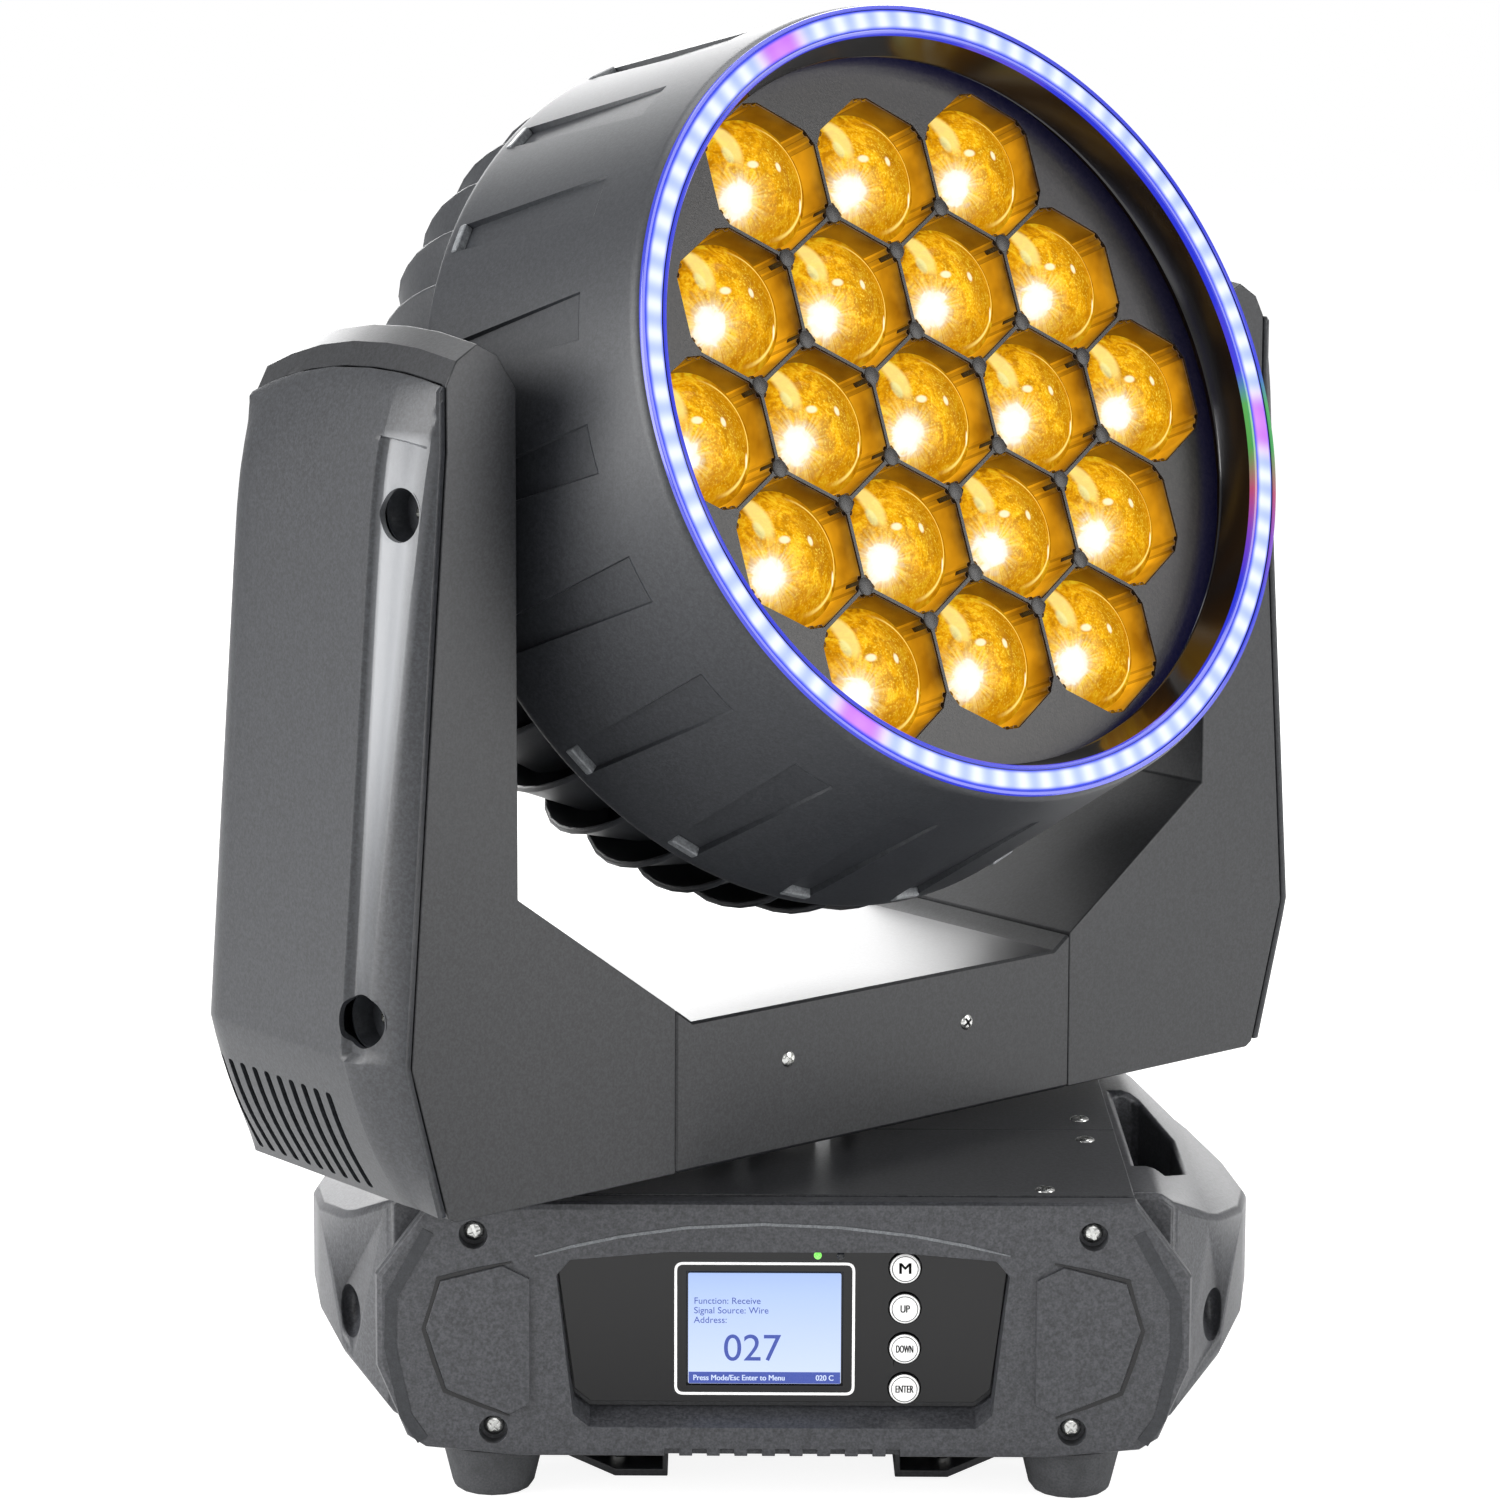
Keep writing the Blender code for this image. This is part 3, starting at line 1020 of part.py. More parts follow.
def make_rear_cover():
    # turbine-like cover: leaning vanes from a front ring to a rear cap
    ring_radius, top = BARREL_REAR_RADIUS - 4.0 * MM, BARREL_REAR - SEAT_GAP
    cap_radius = BARREL_REAR_RADIUS - 54.0 * MM
    flat_radius = cap_radius - 19.0 * MM
    ring = turned("rear_cover", [(ring_radius - 9 * MM, top), (ring_radius, top),
                                 (ring_radius, top - 5 * MM), (ring_radius - 9 * MM, top - 5 * MM)], 42)
    cap = turned("rear_cap", [(0, -78 * MM), (flat_radius, -76 * MM), (cap_radius, -73 * MM),
                              (cap_radius, -79 * MM), (flat_radius, -82 * MM), (0, -84 * MM)], 42, closed=False)
    combine(ring, make_cutter(cap, TILT_AXIS), "UNION")
    vanes = bmesh.new()
    lean_in = Vector((-math.cos(VANE_LEAN), math.sin(VANE_LEAN), 0)) * VANE_DEPTH
    across = Vector((math.sin(VANE_LEAN), math.cos(VANE_LEAN), 0)) * VANE_THICKNESS
    for i in range(VANE_COUNT):
        turn = Matrix.Rotation(2 * math.pi * (i + 0.4) / VANE_COUNT, 4, "Z")
        loops = []
        for radius, s in VANE_LINE:
            edge = Vector((radius - 0.5 * MM, 0, s - 0.5 * MM))
            corners = (edge, edge + across * 0.8, edge + across * 0.8 + lean_in, edge + lean_in)
            loops.append([vanes.verts.new(turn @ corner) for corner in corners])
        for one, other in zip(loops, loops[1:]):
            for a in range(4):
                b = (a + 1) % 4
                vanes.faces.new((one[a], one[b], other[b], other[a]))
        vanes.faces.new(loops[0][::-1])
        vanes.faces.new(loops[-1])
    bmesh.ops.recalc_face_normals(vanes, faces=vanes.faces)
    combine(ring, make_cutter(from_bmesh("rear_vanes", vanes, CUTTERS), TILT_AXIS), "UNION")
    cut(ring, hub_way("rear_hub_way"))
    return finish(ring, "abs", TILT_AXIS)


# ---- build --------------------------------------------------------------

make_tray()
make_top_plates()
make_front_panel()
make_rear_panel()
make_handle("left_handle", -1)
make_handle("right_handle", 1)
make_display()
make_feet()
make_clamp_brackets()
make_pan_drive()
make_crossbar()
make_arm_frame("left_arm_frame", -1)
make_arm_frame("right_arm_frame", 1)
make_arm_cover("left_arm_cover", -1)
make_arm_cover("right_arm_cover", 1)
make_tilt_drive()
make_barrel()
make_ring_and_shroud()
make_lens_plate()
make_lenses()
make_head_frame()
make_rear_cover()
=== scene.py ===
import math

import bmesh
import bpy
from mathutils import Matrix, Vector


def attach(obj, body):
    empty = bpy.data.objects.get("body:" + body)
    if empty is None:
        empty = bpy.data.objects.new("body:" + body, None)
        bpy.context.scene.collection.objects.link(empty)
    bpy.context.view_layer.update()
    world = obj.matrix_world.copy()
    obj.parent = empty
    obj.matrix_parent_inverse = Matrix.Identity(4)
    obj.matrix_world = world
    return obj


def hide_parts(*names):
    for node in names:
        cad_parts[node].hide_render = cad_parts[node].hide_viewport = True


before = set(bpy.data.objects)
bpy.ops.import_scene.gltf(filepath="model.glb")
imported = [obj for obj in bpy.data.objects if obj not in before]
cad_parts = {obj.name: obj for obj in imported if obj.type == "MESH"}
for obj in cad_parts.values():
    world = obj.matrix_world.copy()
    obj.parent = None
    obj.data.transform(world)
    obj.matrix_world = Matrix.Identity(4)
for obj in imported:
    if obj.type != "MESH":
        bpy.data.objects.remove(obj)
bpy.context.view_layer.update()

mm = 0.001
partsShelf = bpy.data.collections.new("looks")
bpy.context.scene.collection.children.link(partsShelf)

# where the yoke and the head stand in the shared frame; the head's +Z runs along the beam, its +Y up the head
pose = {"pan": 39.8, "beamAboveLevel": 21.0, "tiltHeight": 352.6 * mm}
yokeFrame = Matrix.Rotation(math.radians(pose["pan"]), 4, "Z")
headFrame = (yokeFrame @ Matrix.Translation((0, 0, pose["tiltHeight"]))
             @ Matrix.Rotation(math.radians(90 - pose["beamAboveLevel"]), 4, "X"))


# ---- small tools for colours, nodes and meshes

def colour(hexText, alpha=1.0):
    # sRGB hex to the linear values that Blender wants
    parts = [int(hexText[i:i + 2], 16) / 255 for i in (1, 3, 5)]
    linear = [p / 12.92 if p <= 0.04045 else ((p + 0.055) / 1.055) ** 2.4 for p in parts]
    return (*linear, alpha)


def addNode(tree, kind, inputs=None, **settings):
    # adds one node with its settings; a socket given as a value is linked
    node = tree.nodes.new(kind)
    for name, value in settings.items():
        setattr(node, name, value)
    for name, value in (inputs or {}).items():
        if isinstance(value, bpy.types.NodeSocket):
            tree.links.new(value, node.inputs[name])
        else:
            node.inputs[name].default_value = value
    return node


def addRamp(tree, factor, stops, interpolation="LINEAR"):
    node = addNode(tree, "ShaderNodeValToRGB", {"Fac": factor})
    ramp = node.color_ramp
    ramp.interpolation = interpolation
    while len(ramp.elements) < len(stops):
        ramp.elements.new(0.5)
    for element, (place, value) in zip(ramp.elements, stops):
        element.position = place
        element.color = value
    return node.outputs["Color"]


def greys(*stops):
    # ramp stops from (place, grey value)
    return [(at, (v, v, v, 1)) for at, v in stops]


def startMaterial(name, **surface):
    # a Principled material; surface gives socket values by name
    material = bpy.data.materials.new(name)
    material.use_nodes = True
    shader = material.node_tree.nodes["Principled BSDF"]
    for socket, value in surface.items():
        shader.inputs[socket.replace("_", " ")].default_value = value
    return material, material.node_tree, shader


def grainBump(tree, shader, grainMm, strength, depthMm=0.05, detail=2.0):
    # moulded or sprayed texture as bump; grainMm is the width of one grain
    place = addNode(tree, "ShaderNodeTexCoord").outputs["Object"]
    noise = addNode(tree, "ShaderNodeTexNoise", {"Vector": place, "Scale": 1000 / grainMm, "Detail": detail})
    bump = addNode(tree, "ShaderNodeBump", {"Height": noise.outputs["Fac"], "Strength": strength,
                                            "Distance": depthMm * mm})
    tree.links.new(bump.outputs["Normal"], shader.inputs["Normal"])
    return noise.outputs["Fac"]


def mottle(tree, shader, low, high, patchMm, grain=None):
    # slow change of colour over the surface, with the grain's speckle on it
    place = addNode(tree, "ShaderNodeTexCoord").outputs["Object"]
    noise = addNode(tree, "ShaderNodeTexNoise", {"Vector": place, "Scale": 1000 / patchMm, "Detail": 3.0})
    factor = noise.outputs["Fac"]
    if grain:
        factor = addNode(tree, "ShaderNodeMath", {0: factor, 1: grain}, operation="MULTIPLY").outputs[0]
        factor = addNode(tree, "ShaderNodeMath", {0: factor, 1: 2.0}, operation="MULTIPLY").outputs[0]
    tint = addRamp(tree, factor, [(0.25, colour(low)), (0.75, colour(high))])
    tree.links.new(tint, shader.inputs["Base Color"])


def pieceFromBmesh(name, meshData, material, place=None, flat=False, angle=32.0):
    # the mesh goes to its place in the shared frame and gets its material
    mesh = bpy.data.meshes.new(name)
    if place is not None:
        bmesh.ops.transform(meshData, matrix=place, verts=meshData.verts)
    meshData.to_mesh(mesh)
    meshData.free()
    return pieceFromMesh(name, mesh, material, flat, angle)


def pieceFromMesh(name, mesh, material, flat=False, angle=32.0):
    if material is not None:
        mesh.materials.clear()
        mesh.materials.append(material)
    mesh.polygons.foreach_set("use_smooth", [not flat] * len(mesh.polygons))
    if not flat:
        mesh.set_sharp_from_angle(angle=math.radians(angle))
    piece = bpy.data.objects.new(name, mesh)
    partsShelf.objects.link(piece)
    return piece


def bakeModifiers(piece):
    # the evaluated mesh takes the place of the object's own, without its modifiers
    graph = bpy.context.evaluated_depsgraph_get()
    mesh = bpy.data.meshes.new_from_object(piece.evaluated_get(graph))
    piece.modifiers.clear()
    piece.data = mesh
    return piece


def cutAway(piece, cutter, name, meetsItself=False):
    # takes the cutter's shape out of the piece
    cut = piece.modifiers.new(name, "BOOLEAN")
    cut.object = cutter
    cut.solver = "EXACT"
    cut.use_self = meetsItself
    return bakeModifiers(piece)


def putAway(helper):
    # patterns and cutters leave the scene once they are used
    bpy.data.objects.remove(helper, do_unlink=True)


def joinInto(whole, part):
    # one mesh in the making takes in another
    spare = bpy.data.meshes.new("spare")
    part.to_mesh(spare)
    part.free()
    whole.from_mesh(spare)
    bpy.data.meshes.remove(spare)


def bridge(meshData, rings):
    # a band of quads from each closed ring of points to the next
    for one, other in zip(rings, rings[1:]):
        for a in range(len(one)):
            b = (a + 1) % len(one)
            meshData.faces.new((one[a], one[b], other[b], other[a]))


def revolve(meshData, profile, sides, closed=True, uvScale=100.0):
    # turns (radius, height) points in mm round +Z; UV u is the share of a turn, v the way along in mm / uvScale
    layer = meshData.loops.layers.uv.get("wrap") or meshData.loops.layers.uv.new("wrap")
    rings = []
    for radius, height in profile:
        ring = []
        for i in range(sides):
            angle = 2 * math.pi * i / sides
            ring.append(meshData.verts.new((radius * mm * math.cos(angle), radius * mm * math.sin(angle),
                                            height * mm)))
        rings.append(ring)
    ways = [0.0]
    ends = list(profile) + ([profile[0]] if closed else [])
    for one, other in zip(ends, ends[1:]):
        ways.append(ways[-1] + math.dist(one, other) / uvScale)
    loops = rings + ([rings[0]] if closed else [])
    for row, (one, other) in enumerate(zip(loops, loops[1:])):
        for i in range(sides):
            j = (i + 1) % sides
            face = meshData.faces.new((one[i], one[j], other[j], other[i]))
            corners = ((i, row), (i + 1, row), (i + 1, row + 1), (i, row + 1))
            for loop, (turn, way) in zip(face.loops, corners):
                loop[layer].uv = (turn / sides, ways[way])
    if not closed:
        for ring, upright in ((rings[0], False), (rings[-1], True)):
            if math.hypot(ring[0].co.x, ring[0].co.y) > 1e-6:
                meshData.faces.new(ring if upright else ring[::-1])
    bmesh.ops.remove_doubles(meshData, verts=meshData.verts, dist=1e-7)
    bmesh.ops.recalc_face_normals(meshData, faces=meshData.faces)


def rounded(points, radius, steps=4):
    # a closed outline with its corners rounded
    result = []
    count = len(points)
    for i in range(count):
        before, here, after = (Vector(points[(i + k) % count]) for k in (-1, 0, 1))
        reach = min(radius, (before - here).length * 0.45, (after - here).length * 0.45)
        start = here + (before - here).normalized() * reach
        end = here + (after - here).normalized() * reach
        for k in range(steps + 1):
            t = k / steps
            result.append(start.lerp(here, t).lerp(here.lerp(end, t), t))
    return result


def slab(meshData, outline, low, high):
    # a closed prism, in mm: the outline's points in its first two axes, low and high in the third
    front = [meshData.verts.new((p[0] * mm, p[1] * mm, high * mm)) for p in outline]
    back = [meshData.verts.new((p[0] * mm, p[1] * mm, low * mm)) for p in outline]
    meshData.faces.new(front)
    meshData.faces.new(back[::-1])
    for i in range(len(outline)):
        j = (i + 1) % len(outline)
        meshData.faces.new((back[i], back[j], front[j], front[i]))
    bmesh.ops.recalc_face_normals(meshData, faces=meshData.faces)


def cadCopy(node, name, material, bevelMm=0.6, segments=2, angle=30.0):
    # a CAD solid's own shape with its loose triangles merged and its edges broken
    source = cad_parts[node]
    meshData = bmesh.new()
    meshData.from_mesh(source.data)
    bmesh.ops.remove_doubles(meshData, verts=meshData.verts, dist=0.000002)
    bmesh.ops.dissolve_limit(meshData, angle_limit=math.radians(0.6), verts=meshData.verts,
                             edges=meshData.edges)
    piece = pieceFromBmesh(name, meshData, material, angle=angle)
    if bevelMm:
        bevel = piece.modifiers.new("brokenEdges", "BEVEL")
        bevel.width = bevelMm * mm
        bevel.segments = segments
        bevel.limit_method = "ANGLE"
        bevel.angle_limit = math.radians(angle)
        bevel.use_clamp_overlap = True
        bevel.harden_normals = True
        bakeModifiers(piece)
    return piece


def settle(piece, body, slot, *nodes):
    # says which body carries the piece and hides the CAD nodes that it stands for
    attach(piece, body)
    if nodes:
        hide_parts(*nodes)
    return piece


def newTree(name, *inputs):
    # a geometry tree with named inputs, each (name, socket type, value)
    tree = bpy.data.node_groups.new(name, "GeometryNodeTree")
    tree.interface.new_socket("Geometry", in_out="INPUT", socket_type="NodeSocketGeometry")
    for label, kind, value in inputs:
        socket = tree.interface.new_socket(label, in_out="INPUT", socket_type=kind)
        if value is not None:
            socket.default_value = value
    tree.interface.new_socket("Geometry", in_out="OUTPUT", socket_type="NodeSocketGeometry")
    return tree, addNode(tree, "NodeGroupInput"), addNode(tree, "NodeGroupOutput")


def endTree(tree, ends, output, geometry):
    # every tree ends in real geometry with one material
    real = addNode(tree, "GeometryNodeRealizeInstances", {"Geometry": geometry})
    done = addNode(tree, "GeometryNodeSetMaterial", {"Geometry": real.outputs[0],
                                                     "Material": ends.outputs["Material"]})
    tree.links.new(done.outputs[0], output.inputs[0])


def runTree(piece, tree, **values):
    # puts the tree on the piece, sets its inputs by identifier and keeps the result as a mesh
    modifier = piece.modifiers.new(tree.name, "NODES")
    modifier.node_group = tree
    for item in tree.interface.items_tree:
        if item.item_type == "SOCKET" and item.in_out == "INPUT" and item.name in values:
            modifier[item.identifier] = values[item.name]
    return bakeModifiers(piece)


# repeats the piece's own mesh round +Z
turnTree, turnIn, turnOut = newTree("repeatRound", ("Count", "NodeSocketInt", 12),
                                    ("Material", "NodeSocketMaterial", None))
points = addNode(turnTree, "GeometryNodePoints", {"Count": turnIn.outputs["Count"]})
index = addNode(turnTree, "GeometryNodeInputIndex")
step = addNode(turnTree, "ShaderNodeMath", {0: 2 * math.pi, 1: turnIn.outputs["Count"]}, operation="DIVIDE")
angle = addNode(turnTree, "ShaderNodeMath", {0: step.outputs[0], 1: index.outputs[0]}, operation="MULTIPLY")
turned = addNode(turnTree, "ShaderNodeCombineXYZ", {"Z": angle.outputs[0]})
copies = addNode(turnTree, "GeometryNodeInstanceOnPoints",
                 {"Points": points.outputs[0], "Instance": turnIn.outputs["Geometry"],
                  "Rotation": turned.outputs[0]})
endTree(turnTree, turnIn, turnOut, copies.outputs[0])

# sets one pattern object on each point, its +Z along the point's "facing" and turned by its "spin"
setTree, setIn, setOut = newTree("setOnPoints", ("Pattern", "NodeSocketObject", None),
                                 ("Material", "NodeSocketMaterial", None))
pattern = addNode(setTree, "GeometryNodeObjectInfo", {"Object": setIn.outputs["Pattern"]})
facing = addNode(setTree, "GeometryNodeInputNamedAttribute", {"Name": "facing"}, data_type="FLOAT_VECTOR")
spin = addNode(setTree, "GeometryNodeInputNamedAttribute", {"Name": "spin"}, data_type="FLOAT")
aligned = addNode(setTree, "FunctionNodeAlignRotationToVector", {"Vector": facing.outputs[0]}, axis="Z")
spinTurn = addNode(setTree, "FunctionNodeAxisAngleToRotation", {"Axis": (0, 0, 1), "Angle": spin.outputs[0]})
both = addNode(setTree, "FunctionNodeRotateRotation", {"Rotation": aligned.outputs[0],
                                                       "Rotate By": spinTurn.outputs[0]},
               rotation_space="LOCAL")
placed = addNode(setTree, "GeometryNodeInstanceOnPoints",
                 {"Points": setIn.outputs["Geometry"], "Instance": pattern.outputs["Geometry"],
                  "Rotation": both.outputs[0]})
endTree(setTree, setIn, setOut, placed.outputs[0])


def setOnPoints(name, patternPiece, places, material, place=None):
    # places: (position in mm, facing, spin in degrees); one mesh comes back
    mesh = bpy.data.meshes.new(name)
    mesh.from_pydata([tuple(v * mm for v in position) for position, _, _ in places], [], [])
    for label, kind in (("facing", "FLOAT_VECTOR"), ("spin", "FLOAT")):
        mesh.attributes.new(label, kind, "POINT")
    for i, (_, direction, degrees) in enumerate(places):
        mesh.attributes["facing"].data[i].vector = direction
        mesh.attributes["spin"].data[i].value = math.radians(degrees)
    piece = bpy.data.objects.new(name, mesh)
    partsShelf.objects.link(piece)
    runTree(piece, setTree, Pattern=patternPiece, Material=material)
    if place is not None:
        piece.data.transform(place)
    return piece


print("tools ready")

# ---- materials, each named for what the real one is

# grained ABS: charcoal, spark-eroded mould texture, soft wide highlights with fine stipple
grainedAbs, tree, shader = startMaterial("grainedAbs", Roughness=0.42, IOR=1.53)
grain = grainBump(tree, shader, 0.9, 0.8, 0.07)      # 0.3 mm grain, drawn coarser so that it shows
mottle(tree, shader, "#2b2c2f", "#47484c", 1.6, grain)

# the arm covers are the same plastic, darker, with a painted highlight along their channel: a pale tint where the
# slanted channel catches the light, and a lower roughness there. Its mask is in metres of the yoke's frame: a
# slanting front edge, an upright rear edge, and a fade with the height
channelPaintedHighlight = {"slant": 0.05405, "front": (-0.0375, -0.030), "rear": (-0.0345, -0.0375), "tint": "#86888b",
               "gloss": (0.42, 0.33)}
coverAbs, tree, shader = startMaterial("grainedAbsCover", IOR=1.53)
grain = grainBump(tree, shader, 0.9, 0.8, 0.07)
mottle(tree, shader, "#1d1e21", "#303236", 1.6, grain)
place = addNode(tree, "ShaderNodeTexCoord").outputs["Object"]
inYoke = addNode(tree, "ShaderNodeMapping", {"Vector": place, "Rotation": (0, 0, -math.radians(pose["pan"]))})
axes = addNode(tree, "ShaderNodeSeparateXYZ", {"Vector": inYoke.outputs[0]})
slant = addNode(tree, "ShaderNodeMath", {0: axes.outputs["Z"], 1: channelPaintedHighlight["slant"], 2: axes.outputs["Y"]},
                operation="MULTIPLY_ADD")
frontSide = addNode(tree, "ShaderNodeMapRange", {
    "Value": slant.outputs[0], "From Min": channelPaintedHighlight["front"][0], "From Max": channelPaintedHighlight["front"][1]})
rearSide = addNode(tree, "ShaderNodeMapRange", {
    "Value": axes.outputs["Y"], "From Min": channelPaintedHighlight["rear"][0], "From Max": channelPaintedHighlight["rear"][1]})
ofHalfMetre = addNode(tree, "ShaderNodeMath", {0: axes.outputs["Z"], 1: 2.0}, operation="MULTIPLY")
upward = addRamp(tree, ofHalfMetre.outputs[0], greys((0.335, 0.0), (0.42, 0.25), (0.60, 0.9), (0.70, 0.85),
                                                     (0.775, 0.5), (0.78, 0.0)), "EASE")
smooth = addNode(tree, "ShaderNodeMath", {0: frontSide.outputs[0], 1: rearSide.outputs[0]},
                 operation="MULTIPLY")
smooth = addNode(tree, "ShaderNodeMath", {0: smooth.outputs[0], 1: upward}, operation="MULTIPLY")
# painted highlight: the channel mask mixes the pale tint into the grain's colour
pale = addNode(tree, "ShaderNodeMix", {0: smooth.outputs[0]}, data_type="RGBA")
tree.links.new(shader.inputs["Base Color"].links[0].from_socket, pale.inputs[6])
pale.inputs[7].default_value = colour(channelPaintedHighlight["tint"])
tree.links.new(pale.outputs[2], shader.inputs["Base Color"])
gloss = addNode(tree, "ShaderNodeMapRange", {
    "Value": smooth.outputs[0], "To Min": channelPaintedHighlight["gloss"][0], "To Max": channelPaintedHighlight["gloss"][1]})
tree.links.new(gloss.outputs[0], shader.inputs["Roughness"])

# the honeycomb plate takes a warm cast from the lenses
plateAbs, tree, shader = startMaterial("warmGrainedAbs", Roughness=0.42, IOR=1.53)
grain = grainBump(tree, shader, 0.9, 0.8, 0.07)
mottle(tree, shader, "#171513", "#2c2825", 1.6, grain)

# the barrel and vanes come from the same mould shop but with a finer, duller grain
fineAbs, tree, shader = startMaterial("fineAbs", Roughness=0.44, IOR=1.53)
grain = grainBump(tree, shader, 0.7, 0.55, 0.05)
mottle(tree, shader, "#1c1e22", "#2d2f33", 1.6, grain)

# the same plastic, paler and glossier: a painted highlight on the barrel's raised tabs and on the crease over the
# display
paintedHighlightAbs, tree, shader = startMaterial("paintedHighlightAbs", Roughness=0.34, IOR=1.53)
grain = grainBump(tree, shader, 0.7, 0.25, 0.03)
mottle(tree, shader, "#55585b", "#777a7d", 2.0, grain)

# powder coat on folded steel: orange-peel skin, a little glossier than the plastic
powderCoat, tree, shader = startMaterial("powderCoat", Roughness=0.36, IOR=1.5)
grain = grainBump(tree, shader, 0.9, 0.6, 0.05)
mottle(tree, shader, "#18191b", "#28292c", 1.8, grain)

# the same coat on the base's top plates, paler: painted light on these upward faces
paintedLightCoat, tree, shader = startMaterial("powderCoatPaintedLight", Roughness=0.34, IOR=1.5)
grain = grainBump(tree, shader, 0.9, 0.6, 0.05)
mottle(tree, shader, "#292a2c", "#414245", 1.8, grain)

# polished black acrylic: mirror gloss under a hard film
blackAcrylic, tree, shader = startMaterial("blackAcrylic", Roughness=0.07, IOR=1.49,
                                           Base_Color=colour("#070709"))
grainBump(tree, shader, 60.0, 0.04, 0.3)

# polished polycarbonate of the shroud: black, wet gloss that picks up the lenses' orange
shroudGloss, tree, shader = startMaterial("shroudPolycarbonate", Roughness=0.12, IOR=1.58,
                                          Base_Color=colour("#0d0c0d"))
grainBump(tree, shader, 30.0, 0.05, 0.2)

# rubber of the feet and belts: dull, slightly dusty black
footRubber, tree, shader = startMaterial("mouldedRubber", Roughness=0.72, IOR=1.52)
grain = grainBump(tree, shader, 0.8, 0.35, 0.05)
mottle(tree, shader, "#363739", "#4c4d50", 12.0, grain)

# zinc-plated steel of screws and studs: bright, faintly streaked
zincSteel, tree, shader = startMaterial("zincPlatedSteel", Metallic=1.0, Roughness=0.24)
grain = grainBump(tree, shader, 1.2, 0.12, 0.02)
mottle(tree, shader, "#b9bab8", "#e2e2df", 4.0, grain)

# turned steel of the pan collar: fine rings from the lathe round the pan axis
turnedSteel, tree, shader = startMaterial("turnedSteel", Metallic=1.0, Roughness=0.2)
place = addNode(tree, "ShaderNodeTexCoord").outputs["Object"]
rings = addNode(tree, "ShaderNodeTexWave", {"Vector": place, "Scale": 160.0, "Distortion": 0.6},
                wave_type="BANDS", bands_direction="Z")
ringTint = addRamp(tree, rings.outputs["Fac"], [(0.0, colour("#b5b6b8")), (1.0, colour("#dcdcdc"))])
tree.links.new(ringTint, shader.inputs["Base Color"])
ringBump = addNode(tree, "ShaderNodeBump", {"Height": rings.outputs["Fac"], "Strength": 0.15,
                                            "Distance": 0.00002})
tree.links.new(ringBump.outputs["Normal"], shader.inputs["Normal"])

# die-cast aluminium of the heat sink: matt, cloudy grey
castAluminium, tree, shader = startMaterial("dieCastAluminium", Metallic=1.0, Roughness=0.45)
grain = grainBump(tree, shader, 1.5, 0.3, 0.05)
mottle(tree, shader, "#8d9094", "#b2b5b8", 15.0, grain)

# motor laminations: blackened steel with fine lines round the body
motorSteel, tree, shader = startMaterial("blackenedSteel", Metallic=0.7, Roughness=0.38)
place = addNode(tree, "ShaderNodeTexCoord").outputs["Object"]
plies = addNode(tree, "ShaderNodeTexWave", {"Vector": place, "Scale": 300.0}, wave_type="BANDS",
                bands_direction="Z")
plyTint = addRamp(tree, plies.outputs["Fac"], [(0.0, colour("#2a2b2d")), (1.0, colour("#47484b"))])
tree.links.new(plyTint, shader.inputs["Base Color"])

# white print under the display film: flat opaque ink with a painted glow that lifts it above the light falling on
# it; the button faces have it too
whiteInkPaintedGlow, tree, shader = startMaterial("whiteInkPaintedGlow", Roughness=0.3, IOR=1.49, Emission_Strength=0.3,
                                       Emission_Color=colour("#ffffff"))
grain = grainBump(tree, shader, 0.5, 0.05, 0.01)
mottle(tree, shader, "#dcdcdb", "#f1f1ef", 6.0, grain)

# black print on the buttons; the same material is the painted shade in the grooves round the front panel's pads
blackInkAndGrooveShade, tree, shader = startMaterial("blackInkAndGrooveShade", Roughness=0.35)
grain = grainBump(tree, shader, 0.5, 0.05, 0.01)
mottle(tree, shader, "#121213", "#1c1c1e", 6.0, grain)

# liquid crystal panel: pale blue backlight, brighter towards its middle
liquidCrystal, tree, shader = startMaterial("liquidCrystal", Roughness=0.18, IOR=1.5,
                                            Base_Color=colour("#33415c"), Emission_Strength=0.95)
screenUv = addNode(tree, "ShaderNodeUVMap", uv_map="wrap").outputs["UV"]
up = addNode(tree, "ShaderNodeSeparateXYZ", {"Vector": screenUv})
glow = addRamp(tree, up.outputs["Y"], [(0.0, colour("#dbe7ff")), (0.45, colour("#cadaff")),
                                       (0.8, colour("#bacffa")), (1.0, colour("#adc4f5"))])
tree.links.new(glow, shader.inputs["Emission Color"])

# dark blue crystal of the digits and the bar along the bottom of the screen
crystalBlue, tree, shader = startMaterial("liquidCrystalBlue", Roughness=0.25,
                                          Base_Color=colour("#20306a"), Emission_Strength=0.55)
grain = grainBump(tree, shader, 0.3, 0.02, 0.01)
tree.links.new(addRamp(tree, grain, [(0.3, colour("#4659b4")), (0.7, colour("#5468c8"))]),
               shader.inputs["Emission Color"])

# green and dark status lamps: clear epoxy domes
litEpoxy, tree, shader = startMaterial("litGreenEpoxy", Roughness=0.15, Base_Color=colour("#2c7a2a"),
                                       Emission_Strength=1.1)
grain = grainBump(tree, shader, 0.6, 0.05, 0.02)
tree.links.new(addRamp(tree, grain, [(0.3, colour("#5fe04a")), (0.7, colour("#b4ff8c"))]),
               shader.inputs["Emission Color"])
darkEpoxy, tree, shader = startMaterial("darkEpoxy", Roughness=0.12)
grain = grainBump(tree, shader, 0.6, 0.05, 0.02)
mottle(tree, shader, "#1a1c1e", "#33363a", 2.0, grain)

# socket shells: dull nickel with a dark insert
nickelPlate, tree, shader = startMaterial("nickelPlate", Metallic=1.0, Roughness=0.3)
grain = grainBump(tree, shader, 1.0, 0.1, 0.02)
mottle(tree, shader, "#8f8d86", "#b4b1a8", 5.0, grain)

